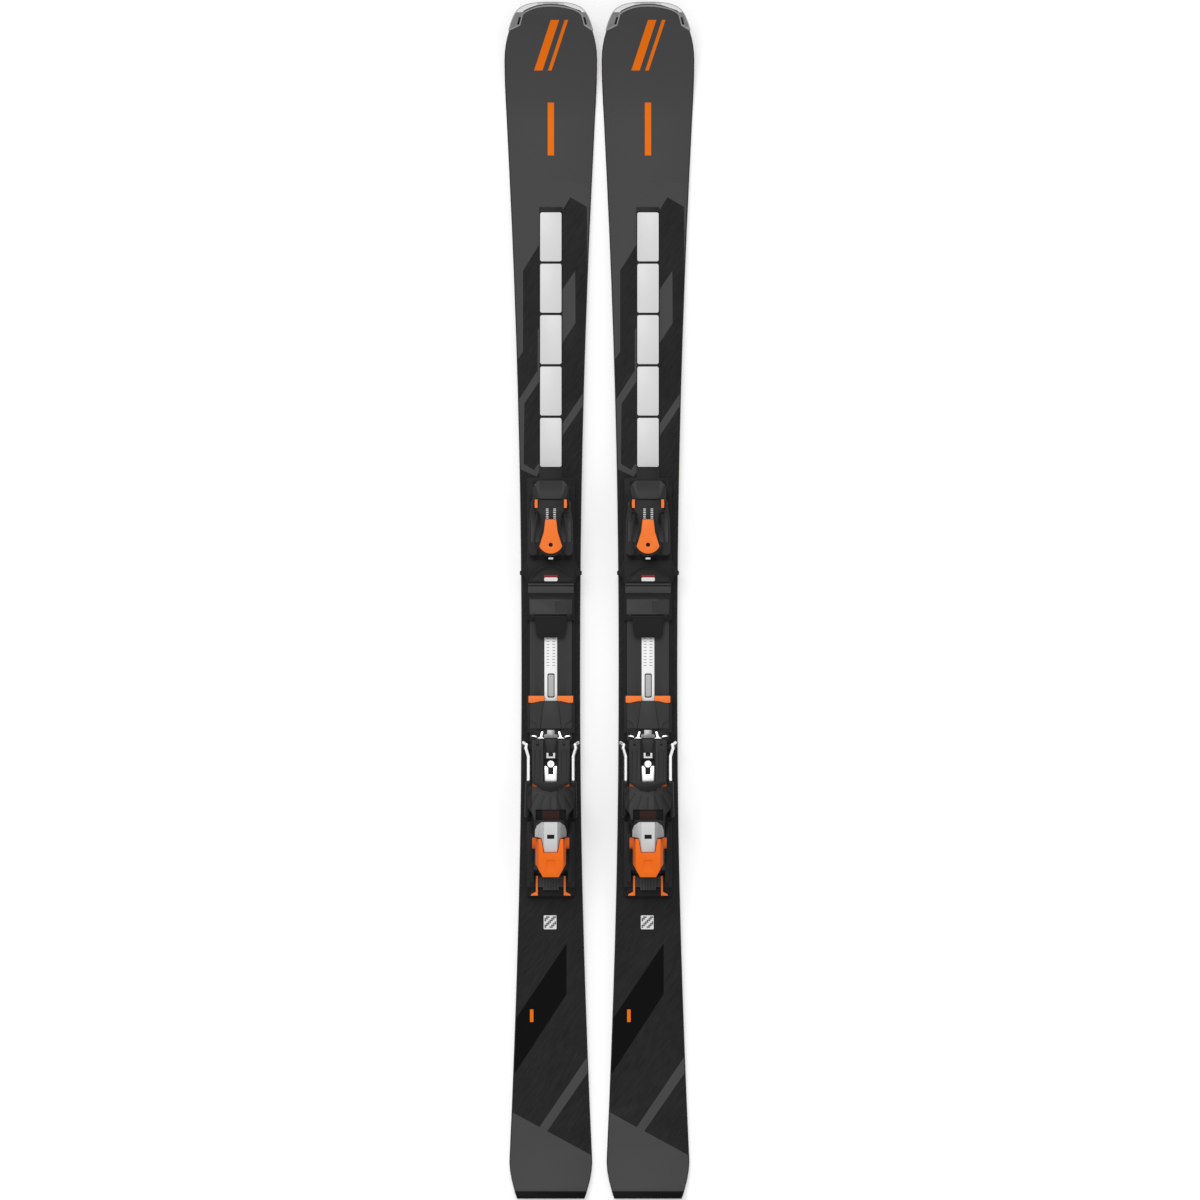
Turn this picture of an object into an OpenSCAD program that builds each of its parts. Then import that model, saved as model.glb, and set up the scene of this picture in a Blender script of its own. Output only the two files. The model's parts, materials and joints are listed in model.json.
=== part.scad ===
// Pair of alpine skis with step-in bindings and ski brakes.
// The skis lie flat side by side with their tips towards +Y. Lengths are in millimetres.
// Every binding place is counted from where the boot's toe or heel comes.

/* [Skis] */
// Length of each ski from tip to tail
ski_len = 1720; // [1600:10:1840]
// Width at the widest place of the tip
tip_w = 133.4; // [120:0.2:150]
// Width at the waist
waist_w = 84.6; // [80:0.2:96]
// Width at the widest place of the tail
tail_w = 118.2; // [105:0.2:135]
// How far the waist lies behind the ski's middle
waist_back = 100; // [60:5:140]
// Length of the rounded tip ahead of its widest place
tip_round = 83; // [70:1:100]
// Length of the tapered tail behind its widest place
tail_taper = 53; // [40:1:70]
// How much narrower each side of the tail is at its end
tail_cut = 11.1; // [6:0.1:16]
// Length of the upturned tip
shovel_len = 170; // [130:5:200]
// Height that the tip rises to
shovel_rise = 58; // [45:1:70]
// Length of the upturned tail
kick_len = 80; // [60:5:110]
// Height that the tail rises to
kick_rise = 8; // [4:0.5:14]
// Height of the base above the floor under the boot, with no weight on the ski
camber = 4.5; // [2:0.5:8]
// Thickness under the boot
mid_t = 15; // [13:0.5:17]
// Thickness at the tip and tail
end_t = 6; // [5:0.5:8]
// Space between the two skis at their widest
ski_space = 6.3; // [4:0.1:40]

/* [Ski layers] */
// Width of a steel edge, seen from below
edge_w = 2.2; // [1.6:0.1:3]
// Height of the steel edges and the running base
edge_h = 2; // [1.6:0.1:2.6]
// Thickness of a sidewall
sidewall_t = 6; // [4:0.5:8]
// How far the topsheet's rim stands in from the edge
topsheet_inset = 1.5; // [1:0.1:2.5]
// Thickness of the topsheet
topsheet_t = 1.2; // [0.8:0.1:2]
// How far the end guards stand above the topsheet
guard_lip = 0.8; // [0.4:0.1:1.5]

/* [Damper plates] */
// Number of plates ahead of the binding
damper_count = 5; // [3:1:5]
// Length of one plate
damper_len = 70.4; // [60:0.2:72]
// Width of one plate
damper_w = 30.75; // [24:0.25:36]
// Thickness of one plate
damper_t = 1.8; // [1.5:0.1:4]
// Space between two plates
damper_gap = 3.5; // [2:0.1:6]
// Height of the dark bed under the plates
bed_h = 1.2; // [0.8:0.2:4]
// Width of the dark bed
bed_w = 33; // [31.5:0.5:44]

/* [Binding rail] */
// Length of the boot sole that the binding is set to
sole_len = 340; // [330:1:350]
// How far the middle of the boot lies behind the ski's middle
boot_back = 105; // [90:5:120]
// Width of the rail's foot
foot_w = 68.6; // [66:0.2:72]
// Width of the rail's T-shaped head
head_w = 60.4; // [58:0.2:62]
// Thickness of the T-shaped head
head_t = 3.2; // [2.6:0.1:4]
// Width of the neck between foot and head
neck_w = 52; // [46:0.5:54]
// Height of the rail's foot above the floor
foot_z = 24.2; // [23:0.1:27]
// Height of the neck
neck_h = 2.8; // [2.6:0.1:4]
// Width of the steel strap that links toe and heel
strap_w = 18.2; // [17:0.1:20]
// Thickness of the steel strap
strap_t = 1; // [0.8:0.1:1.4]
// Clearance between the rail and what slides on it
slide_gap = 0.3; // [0.2:0.05:0.4]
// Radius of a rail screw
screw_r = 2.5; // [2:0.1:3]
// Radius of a rail screw's head
screw_head_r = 4.9; // [4:0.1:5.2]

/* [Toe piece] */
// Thickness of the floor of the toe and heel pieces
floor_t = 3.5; // [3:0.1:4.5]
// Width of the toe and heel pieces over their claws
base_w = 68.4; // [67:0.2:70]
// Height of a toe wing
wing_h = 19.7; // [16:0.1:22]
// Distance of a wing's pin from the ski's centre line
wing_pin_x = 21; // [20:0.1:22]
// Distance of the wing pins ahead of the boot's toe
wing_pin_y = 74; // [72:0.5:75]
// Radius of a wing's pin
wing_pin_r = 3; // [2.5:0.1:3.5]
// Radius of the sliding plate's rounded front
slider_r = 33; // [31:0.5:34]
// Thickness of the sliding plate
slider_t = 3; // [2:0.1:4]
// Width of the toe lock lever at its root
lock_w = 46.4; // [42:0.2:48]
// Length of the toe lock lever
lock_len = 32; // [28:0.5:34]

/* [Heel piece] */
// Height of the heel housing's hinge above the floor
heel_axis_z = 50; // [49:0.5:51]
// Distance of the heel housing's hinge behind the boot's heel
heel_axis_y = 73; // [71:0.5:75]
// Radius of the heel housing's hinge studs
heel_stud_r = 5; // [4:0.1:5.5]
// Width of the heel housing
housing_w = 48; // [44:0.2:48.2]
// Width of the heel jaw
jaw_w = 69; // [66:0.5:72]
// Radius of the hollow that holds the boot's heel
heel_cup_r = 35; // [33:0.5:36]
// Width of the heel lever
lever_w = 43.6; // [42:0.2:44]
// Radius of the brake wire
wire_r = 2.25; // [2:0.05:2.4]
// Length of a brake tip
brake_tip_len = 51; // [46:0.5:54]

/* [Fits] */
// Clearance of a pin in its hole, on the radius
pin_gap = 0.05; // [0.03:0.01:0.08]
// Clearance between parts that turn past each other
turn_gap = 0.3; // [0.25:0.05:0.5]

/* [Hidden] */
$fn = 48;
ROOT_NODES = ["running_bases", "steel_edges", "wood_cores", "sidewalls", "topsheets", "end_guards",
  "damper_plates", "binding_rails", "rail_screws", "steel_straps"];
SKI_NODES = ["toe_base", "toe_housing", "toe_cap", "toe_wedge", "toe_spring", "toe_screw", "wing_pins",
  "toe_wing_a", "toe_wing_b", "slider_plate", "lock_lever", "heel_base", "heel_ramp", "brake_pedal",
  "brake_wire_a", "brake_wire_b", "brake_tip_a", "brake_tip_b", "heel_housing", "heel_jaw", "heel_top",
  "heel_spring", "heel_screw", "heel_lever", "heel_latch"];
SIDES = ["left", "right"];

dark = [0.16, 0.16, 0.17];
black = [0.08, 0.08, 0.09];
grey = [0.42, 0.42, 0.43];
pale = [0.84, 0.84, 0.85];
steel = [0.72, 0.73, 0.75];
orange = [0.95, 0.42, 0.1];
wood = [0.76, 0.6, 0.4];

ski_pitch = tip_w + ski_space;

// Places along the ski, counted from its middle
ski_end = ski_len / 2;
tip_y = ski_end - tip_round;
tail_y = tail_taper - ski_end;
shovel_y = ski_end - shovel_len;
kick_y = kick_len - ski_end;
camber_mid = (shovel_y + kick_y) / 2;
camber_half = (shovel_y - kick_y) / 2;
toe_y = sole_len / 2 - boot_back;
heel_y = -sole_len / 2 - boot_back;
rail_front = toe_y + 111;
track_behind = 150;
rail_back = heel_y - track_behind;
damper_y = rail_front + 16;
damper_pitch = damper_len + damper_gap;
bed_front = damper_y + damper_count * damper_pitch + 4;

// Heights over the rail
head_z = foot_z + neck_h;
rail_z = head_z + head_t;
floor_z = rail_z + slide_gap;
deck_z = floor_z + floor_t;
wing_z = deck_z + 8;
roof_z = wing_z + wing_h + turn_gap;
slider_z = deck_z + 3.3;
housing_half = housing_w / 2;
toe_spring_z = deck_z + 13.5;
heel_spring_z = heel_axis_z + 20;

// Outline of the ski from above, as the right-hand half from tail to tip
tip_shoulder = 0.39;
tip_power = 13;
tip_bend = 0.75;
tail_power = 1.8;
tip_steps = 12;
tail_steps = 4;
side_steps = 20;
function waist_part(y) = y > -waist_back
  ? (tip_w - waist_w) / 2 * pow((y + waist_back) / (tip_y + waist_back), 2)
  : (tail_w - waist_w) / 2 * pow((y + waist_back) / (tail_y + waist_back), 2);
function half_width(y) = waist_w / 2 + waist_part(y);
function tail_half(inset) = [for (k = [tail_steps:-1:0]) let (s = k / tail_steps)
  [tail_w / 2 - inset - tail_cut * pow(s, tail_power), tail_y - (tail_taper - inset) * s]];
function side_half(inset) = [for (k = [1:side_steps - 1])
  let (y = tail_y + (tip_y - tail_y) * k / side_steps) [half_width(y) - inset, y]];
function tip_part(t) = 1 - tip_shoulder * t * t
  - (1 - tip_shoulder) * (1 - pow(1 - pow(t, tip_power), tip_bend));
function tip_half(inset) = [for (k = [0:tip_steps]) let (t = k == tip_steps ? 1 : sin(90 * k / tip_steps))
  [(tip_w / 2 - inset) * tip_part(t), tip_y + (tip_round - inset) * t]];
function tip_x(behind) = tip_w / 2 * tip_part(1 - behind / tip_round);
function outline(inset) = both_sides(concat(tail_half(inset), side_half(inset), tip_half(inset)));

// Side view of the ski: the base's height and the thickness at each place along it
kick_steps = 4;
camber_steps = 16;
shovel_steps = 10;
stations = concat([for (k = [0:kick_steps - 1]) -ski_end + kick_len * k / kick_steps],
  [for (k = [0:camber_steps - 1]) kick_y + 2 * camber_half * k / camber_steps],
  [for (k = [0:shovel_steps]) shovel_y + shovel_len * k / shovel_steps]);
function base_height(y) = y > shovel_y ? shovel_rise * pow((y - shovel_y) / shovel_len, 2)
  : y < kick_y ? kick_rise * pow((kick_y - y) / kick_len, 2)
  : camber * (1 - pow((y - camber_mid) / camber_half, 2));
function thickness(y) = end_t + (mid_t - end_t) * (1 - pow(min(1, abs(y + waist_back) / (ski_end - 40)), 1.6));
BASE = [for (y = stations) [y, base_height(y)]];
TOP = [for (y = stations) [y, base_height(y) + thickness(y)]];
function top_z(y) = lookup(y, TOP);
// Points of the top from one place to another, lifted by some height
function top_line(from, to, lift) = concat([[from, top_z(from) + lift]],
  [for (y = stations) if (y > from && y < to) [y, top_z(y) + lift]], [[to, top_z(to) + lift]]);
function lifted(line, lift) = [for (p = line) [p[0], p[1] + lift]];
function backwards(line) = [for (k = [len(line) - 1:-1:0]) line[k]];
function both_sides(half) = concat(half, [for (p = backwards(half)) if (p[0] > 0.001) [-p[0], p[1]]]);

// A prism across the ski from side-view points, one along it from end-view points, and one up from a plan
module across(points, w) {
  rotate([90, 0, 90]) linear_extrude(w, center = true) polygon(points);
}
module along(points, from, to) {
  translate([0, to, 0]) rotate([90, 0, 0]) linear_extrude(to - from) polygon(points);
}
module upright(points, from, to) {
  translate([0, 0, from]) linear_extrude(to - from) polygon(points);
}
// A box between two corners
module block(low, high) {
  translate(low) cube(high - low);
}
// The same box on both sides of the centre line
module block_pair(low, high) {
  for (s = [0, 1]) mirror([s, 0, 0]) block(low, high);
}
module upright_pair(points, from, to) {
  for (s = [0, 1]) mirror([s, 0, 0]) upright(points, from, to);
}
// Turns what stands on the origin to point from one place to another
module pointing(from, to) {
  d = to - from;
  translate(from) rotate([0, acos(d[2] / norm(d)), atan2(d[1], d[0])]) children();
}
// A straight round bar between two points
module bar(from, to, r) {
  pointing(from, to) cylinder(h = norm(to - from), r = r);
}
module bar_across(y, z, from, to, r) {
  translate([from, y, z]) rotate([0, 90, 0]) cylinder(h = to - from, r = r);
}
module bar_along(z, from, to, r) {
  translate([0, to, z]) rotate([90, 0, 0]) cylinder(h = to - from, r = r);
}
module each_ski() {
  for (s = [-1, 1]) translate([s * ski_pitch / 2, 0, 0]) children();
}

// ---- Skis ----

// A layer of the ski between two heights: one over the base, one under the top
module layer(over_base, under_top) {
  across(concat(lifted(BASE, over_base), backwards(lifted(TOP, -under_top))), 2 * tip_w);
}
module base_layer() {
  across(concat(BASE, backwards(lifted(BASE, edge_h))), 2 * tip_w);
}
// What the guards at both ends take off the ski, seen from above
guard_ear = 41;
tail_guard_len = 10.5;
ear_front = [tip_x(19) - 10.2, ski_end - 19];
ear_back = [tip_x(34) - 13.6, ski_end - 34];
module guard_zones() {
  ear = [[0, ski_end - 7], [0.15 * tip_w, ski_end - 8.5], [tip_x(15) - 10.9, ski_end - 15], ear_front, ear_back,
    [tip_x(guard_ear) - 1.3, ski_end - guard_ear], [tip_w, ski_end - guard_ear - 2], [tip_w, ski_end + 9],
    [0, ski_end + 9]];
  upright(both_sides(ear), -1, 2 * shovel_rise);
  block([-tail_w, -ski_end - 9, -1], [tail_w, tail_guard_len - ski_end, 2 * shovel_rise]);
}
module ski_layer(inset) {
  difference() {
    intersection() {
      children();
      upright(outline(inset), -1, 2 * shovel_rise);
    }
    guard_zones();
  }
}
module ski_rim(outer, inner) {
  difference() {
    intersection() {
      children();
      upright(outline(outer), -1, 2 * shovel_rise);
    }
    upright(outline(inner), -2, 2 * shovel_rise + 1);
    guard_zones();
  }
}
screw_ahead = 96;
screw_mid = 30;
screw_behind = 20;
screw_rows = [toe_y + screw_ahead, toe_y + screw_mid, heel_y + screw_ahead + 16, heel_y - screw_behind,
  heel_y - screw_ahead - 32];
bolt_ahead = 40;
screw_x = 18;
screw_len = 21;
module screw_places() {
  for (y = screw_rows, x = [-screw_x, screw_x]) translate([x, y, 0]) children();
  translate([0, heel_y + bolt_ahead, 0]) children();
}
module screw_holes() {
  screw_places() translate([0, 0, rail_z - screw_len]) cylinder(h = screw_len + 1, r = screw_r + pin_gap);
}
module running_bases() color(black) each_ski() ski_layer(edge_w) base_layer();
module steel_edges() color(steel) each_ski() ski_rim(0, edge_w) base_layer();
module wood_cores() color(wood) each_ski() difference() {
  ski_layer(sidewall_t) layer(edge_h, topsheet_t);
  screw_holes();
}
module sidewalls() color(dark) each_ski() intersection() {
  ski_rim(0.4, sidewall_t) layer(edge_h, topsheet_t);
  block([-tip_w, -ski_end, 0], [tip_w, ski_end - guard_ear, mid_t + shovel_rise]);
}
module topsheets() color(dark) each_ski() difference() {
  ski_layer(topsheet_inset) across(concat(lifted(TOP, -topsheet_t), backwards(TOP)), 2 * tip_w);
  screw_holes();
}
// Clear tip guard with a slanting pocket in each ear, and black tail guard
slot_w = 3.2;
slot_wall = 1.8;
slot_floor = 2.6;
function ear_edge(share, out) = ear_front + share * (ear_back - ear_front) + [out, 0];
module end_guards() color(steel) each_ski() difference() {
  intersection() {
    across(concat(BASE, backwards(lifted(TOP, guard_lip))), 2 * tip_w);
    upright(outline(0), -1, 2 * shovel_rise);
    guard_zones();
  }
  intersection() {
    across(concat(lifted(BASE, slot_floor), backwards(lifted(TOP, 9))), 2 * tip_w);
    upright_pair([ear_edge(0.9, slot_wall), ear_edge(0.9, slot_wall + slot_w), ear_edge(0.2, slot_wall + slot_w),
      ear_edge(0.2, slot_wall)], 0, 2 * shovel_rise);
  }
}
// Plates with cut corners that stand on a dark bed
damper_corner = 1.8;
module damper_plates() color(pale) each_ski() for (k = [0:damper_count - 1]) {
  from = damper_y + k * damper_pitch;
  to = from + damper_len;
  half = damper_w / 2;
  intersection() {
    across(concat(top_line(from, to, bed_h), backwards(top_line(from, to, bed_h + damper_t))), damper_w);
    upright(both_sides([[half - damper_corner, from], [half, from + damper_corner], [half, to - damper_corner],
      [half - damper_corner, to]]), 0, 2 * shovel_rise);
  }
}

// ---- Rail ----

strap_front = toe_y - 117;
strap_back = heel_y + 62;
fork_front = heel_y + 37;
fork_back = heel_y + 13;
fork_slot_w = 7.4;
fork_arc_r = 6.6;
module binding_rails() color(dark) each_ski() {
  difference() {
    union() {
      across(concat(top_line(rail_back, rail_front, 0), [[rail_front, foot_z], [rail_back, foot_z]]), foot_w);
      along([[-neck_w / 2, foot_z], [neck_w / 2, foot_z], [neck_w / 2, head_z], [head_w / 2, head_z],
        [head_w / 2, rail_z], [-head_w / 2, rail_z], [-head_w / 2, head_z], [-neck_w / 2, head_z]],
        rail_back, rail_front);
    }
    block([-strap_w / 2, fork_back, rail_z - strap_t], [strap_w / 2, strap_front, rail_z + 1]);
    screw_holes();
    screw_places() translate([0, 0, rail_z - 2.4]) cylinder(h = 4, r = screw_head_r + pin_gap);
  }
  across(concat(top_line(rail_front, bed_front, 0), backwards(top_line(rail_front, bed_front, bed_h))), bed_w);
}
module rail_screws() color(steel) each_ski() screw_places() {
  translate([0, 0, rail_z - screw_len]) cylinder(h = screw_len - 1, r = screw_r);
  difference() {
    translate([0, 0, rail_z - 2.4]) cylinder(h = 2.4, r = screw_head_r);
    for (a = [0, 90]) rotate(a) block([-2.6, -0.5, rail_z - 1.2], [2.6, 0.5, rail_z + 1]);
  }
}
// Scale strap between toe and heel, and the forked plate behind the middle bolt
module steel_straps() color(steel) each_ski() {
  block([-strap_w / 2, strap_back, rail_z - strap_t], [strap_w / 2, strap_front, rail_z]);
  difference() {
    block([-strap_w / 2, fork_back, rail_z - strap_t], [strap_w / 2, fork_front, rail_z]);
    block([-fork_slot_w / 2, (fork_front + fork_back) / 2, rail_z - 3],
      [fork_slot_w / 2, fork_front + 1, rail_z + 1]);
    translate([0, heel_y + bolt_ahead, rail_z - 3]) cylinder(h = 4, r = fork_arc_r);
  }
}

// ---- Toe piece, with y counted from the boot's toe ----

half_base = base_w / 2;
claw_in = neck_w / 2 + slide_gap;
claw_side = head_w / 2 + slide_gap;
claw_low = foot_z + slide_gap;
claw_top = head_z - slide_gap;
claw_half = [[half_base, deck_z], [half_base, claw_low], [claw_in, claw_low], [claw_in, claw_top],
  [claw_side, claw_top], [claw_side, floor_z]];
claw_section = concat(claw_half, [for (p = backwards(claw_half)) [-p[0], p[1]]]);
window_front = -63;
lock_pivot_y = window_front - 25.5;
lock_pivot_z = deck_z + 2.4;
lock_pin_r = 1.6;
lock_barrel_r = lock_pivot_z - deck_z - turn_gap;
lock_back = lock_pivot_y + lock_barrel_r - lock_len;
slider_back = -40;
slider_centre = slider_back - 7;
bar_y = -49;
wing_pin = [wing_pin_x, wing_pin_y];

module wing_pin_places() {
  for (s = [0, 1]) mirror([s, 0, 0]) translate(wing_pin) children();
}
// Floor with its claws, slider bed with side ears, ribbed bar and rear plate
module toe_base() color(dark) difference() {
  union() {
    along(claw_section, lock_pivot_y - 5, 99);
    upright(both_sides([[half_base, -41], [38, -30], [44.5, -28], [44.5, -23], [40, -20], [35, -7]]),
      floor_z + 1, deck_z + 1.5);
    upright(both_sides([[half_base + 0.3, -41], [half_base + 0.3, -9], [30, -7]]), deck_z, slider_z);
    across([[bar_y + 8.3, deck_z], [bar_y + 8.2, deck_z + 3.4], [bar_y + 6, deck_z + 3.4], [bar_y + 5.6, deck_z + 1.8],
      [bar_y + 4.4, deck_z + 1.8], [bar_y + 4, deck_z + 3.4], [bar_y - 5, deck_z + 3.4], [bar_y - 6, deck_z]], 65.6);
    across([[window_front, deck_z], [window_front - 0.6, deck_z + 1.6], [window_front - 22, deck_z + 1.6],
      [window_front - 22.6, deck_z]], 61.2);
    block_pair([lock_w / 2 + turn_gap, lock_pivot_y - 4, floor_z], [lock_w / 2 + 5, lock_pivot_y + 4, deck_z + 4.8]);
  }
  block([6.2, window_front - 20, deck_z + 1], [6.9, window_front - 3, deck_z + 3]);
  bar_across(lock_pivot_y, lock_pivot_z, -half_base, half_base, lock_pin_r + pin_gap);
}

// Housing: floor, spring tube and nose under one roof, open at the sides for the wings
roof_line = [[104, deck_z + 22], [98, deck_z + 28], [81, deck_z + 33.5], [57, deck_z + 40], [-5, deck_z + 36]];
column_w = 25;
toe_bore_r = 7.5;
roof_half = [[14.5, 3], [18.6, 14], [15, 34], [13.5, 48], [17, 61], [26, 69], [26, 98], [18, 104]];
module toe_housing() color(dark) difference() {
  union() {
    intersection() {
      across(concat(roof_line, [[-5, roof_z], [84, roof_z], [84, deck_z], [104, deck_z]]), 60);
      upright(both_sides(concat([[0, -1.6], [6, -1]], roof_half)), deck_z, deck_z + 50);
      along(both_sides([[26.5, deck_z - 1], [26.5, deck_z + 27], [19, deck_z + 38], [0, deck_z + 43]]), -10, 110);
    }
    upright(both_sides([[12.5, 16], [12.5, 56], [27, 62], [26, 98], [20, 104]]), deck_z, wing_z - turn_gap);
    block([-column_w / 2, 16, deck_z], [column_w / 2, 90, roof_z + 1]);
  }
  bar_along(toe_spring_z, 38, 110, toe_bore_r);
  wing_pin_places() {
    cylinder(h = 100, r = wing_pin_r + pin_gap);
    block([-2.6, -7.1, roof_z + 2], [2.6, 7.1, roof_z + 20]);
  }
}
// Faceted grey cap over the nose, with a hole for the force screw
module toe_cap() color(grey) difference() {
  intersection() {
    across([[104, deck_z + 2], [104, deck_z + 22], [98, deck_z + 28], [81, deck_z + 33.5], [81, deck_z + 37],
      [97, deck_z + 31.7], [107.2, deck_z + 22.5], [107.2, deck_z + 2]], 60);
    upright(both_sides([[21, 81], [24.5, 81], [26, 99], [18, 107.2]]), deck_z, deck_z + 50);
    along(both_sides([[26.5, deck_z - 1], [26.5, deck_z + 23], [14, deck_z + 38], [0, deck_z + 39]]), 70, 110);
  }
  bar_along(toe_spring_z, 100, 110, toe_bore_r - 1);
}
wedge_r = 18;
wedge_y = 20.4;
module toe_wedge() color(orange) difference() {
  intersection() {
    across([[57, deck_z + 40], [-5, deck_z + 36], [-5, deck_z + 39], [57, deck_z + 43]], 60);
    union() {
      upright(both_sides([[16.3, 12.8], [9.9, 33.5], [7.8, 51.5]]), deck_z, deck_z + 60);
      intersection() {
        translate([0, wedge_y, deck_z]) cylinder(h = 60, r = wedge_r);
        block([-30, -5, deck_z], [30, 13, deck_z + 60]);
      }
    }
  }
  translate([0, 15, deck_z]) cylinder(h = 60, r = 3);
}
// Pins with an orange oblong head
module wing_pins() color(orange) wing_pin_places() {
  translate([0, 0, deck_z + 2]) cylinder(h = roof_z - deck_z + 2, r = wing_pin_r);
  block([-2.5, -7, roof_z + 2], [2.5, 7, deck_z + 38]);
}
// One wing, drawn for the right-hand side
module toe_wing() difference() {
  union() {
    translate([wing_pin_x, wing_pin_y, wing_z]) cylinder(h = wing_h, r = 7.2);
    difference() {
      upright([[27.6, 76], [31.5, 50], [32, 18], [31.2, 3], [27, 0], [22, 0.5], [19.4, 5], [19.2, 12], [22.4, 20],
        [20, 45], [15, 68], [17, 78]], wing_z, wing_z + wing_h);
      upright([[27, 60], [28.6, 44], [28.6, 20], [25.6, 17], [24.6, 30], [23, 46], [20.4, 62]], wing_z - 1,
        wing_z + wing_h + 1);
    }
  }
  wing_pin_cut();
  across([[-5, wing_z + wing_h + 1], [-5, wing_z + 15], [8, wing_z + 15], [40, wing_z + wing_h + 1]], 100);
}
module wing_pin_cut() {
  translate([wing_pin_x, wing_pin_y, 0]) cylinder(h = 100, r = wing_pin_r + pin_gap);
}
// Helical spring along +Y from a place
coil_sides = 8;
coil_rings = 14;
module coil(from, len, z, r, wire, turns) {
  steps = turns * coil_rings;
  rise = (len - 2 * wire) / steps;
  points = [for (k = [0:steps], j = [0:coil_sides - 1])
    let (a = 360 * k / coil_rings, b = 360 * j / coil_sides, ring = r + wire * cos(b))
    [ring * cos(a), from + wire + k * rise + wire * sin(b), z + ring * sin(a)]];
  sides = [for (k = [0:steps - 1], j = [0:coil_sides - 1])
    let (p = k * coil_sides + j, q = k * coil_sides + (j + 1) % coil_sides)
    [p, p + coil_sides, q + coil_sides, q]];
  cap_a = [for (j = [0:coil_sides - 1]) j];
  cap_b = [for (j = [coil_sides - 1:-1:0]) steps * coil_sides + j];
  polyhedron(points, concat([cap_a], sides, [cap_b]), convexity = 8);
}
toe_spring_from = 44;
toe_spring_len = 42;
module toe_spring() color(steel) coil(toe_spring_from, toe_spring_len, toe_spring_z, 5.6, 1.2, 6);
// Force screw with its piston at the other end of the spring
module toe_screw() color(steel) difference() {
  union() {
    bar_along(toe_spring_z, 38, toe_spring_from, toe_bore_r - turn_gap);
    bar_along(toe_spring_z, toe_spring_from + toe_spring_len, 92, toe_bore_r - turn_gap);
    bar_along(toe_spring_z, 92, 99, 3);
    bar_along(toe_spring_z, 98, 103.5, toe_bore_r - 1.5);
  }
  for (a = [0, 90]) translate([0, 0, toe_spring_z]) rotate([0, a, 0]) block([-4, 101.5, -0.8], [4, 105, 0.8]);
}
// Sliding plate under the boot's toe
slider_rim = 2.4;
module slider_plate() color(grey) difference() {
  intersection() {
    translate([0, slider_centre, slider_z]) cylinder(h = slider_t, r = slider_r);
    block([-slider_r, slider_back + 2, slider_z], [slider_r, -5, slider_z + slider_t]);
  }
  translate([0, slider_centre, slider_z + slider_t - 0.8]) difference() {
    cylinder(h = slider_t, r = slider_r - slider_rim);
    cylinder(h = slider_t, r = slider_r - 3 * slider_rim);
  }
}
// Dark lever that locks the toe piece on the rail, with a barrel round its pin and a thumb hollow
module lock_lever() color(black) {
  lock_half = lock_w / 2;
  difference() {
    union() {
      upright(both_sides([[lock_half, lock_pivot_y], [lock_half - 3, lock_back + 3.6], [lock_half - 6.2, lock_back]]),
        deck_z + turn_gap, deck_z + 4.2);
      bar_across(lock_pivot_y, lock_pivot_z, -lock_half, lock_half, lock_barrel_r);
    }
    block([-9, lock_back - 1, deck_z + 3.4], [9, lock_back + 7, deck_z + 5]);
  }
  bar_across(lock_pivot_y, lock_pivot_z, -lock_half - 4.6, lock_half + 4.6, lock_pin_r);
}

// ---- Heel piece, with y counted from the boot's heel ----

heel_floor_w = 54;
heel_axis = [-heel_axis_y, heel_axis_z];
cheek_in = housing_half + 0.4;
cheek_out = cheek_in + 5.6;
latch_y = -120;
latch_z = deck_z + 2.4;
latch_r = 2;
latch_end = 1 - track_behind;
prong_x = 20;
prong_w = 2.8;
pedal_axis_y = 72;
pedal_axis_z = deck_z + 4;
pedal_low = deck_z + 1.5;
pedal_top = pedal_low + 5;
pedal_pin_r = 2;
lug_x = 19;
brake_pivot = [36.8, 66.4, 33.4];
brake_turn = 52.5;
brake_tilt = 53.5;
brake_axis = [cos(brake_tilt) * cos(brake_turn), sin(brake_tilt), cos(brake_tilt) * sin(brake_turn)];
brake_stub = 5.5;
brake_bends = [brake_pivot + brake_stub * brake_axis, [34.8, 68, 43.5], [35.6, 63, 43.5], [32, 51, 41.7], [32, 18, 41.7]];
brake_tip_end = [33.2, 18 - brake_tip_len, 37.4];
brake_boss_r = 4.1;

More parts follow.
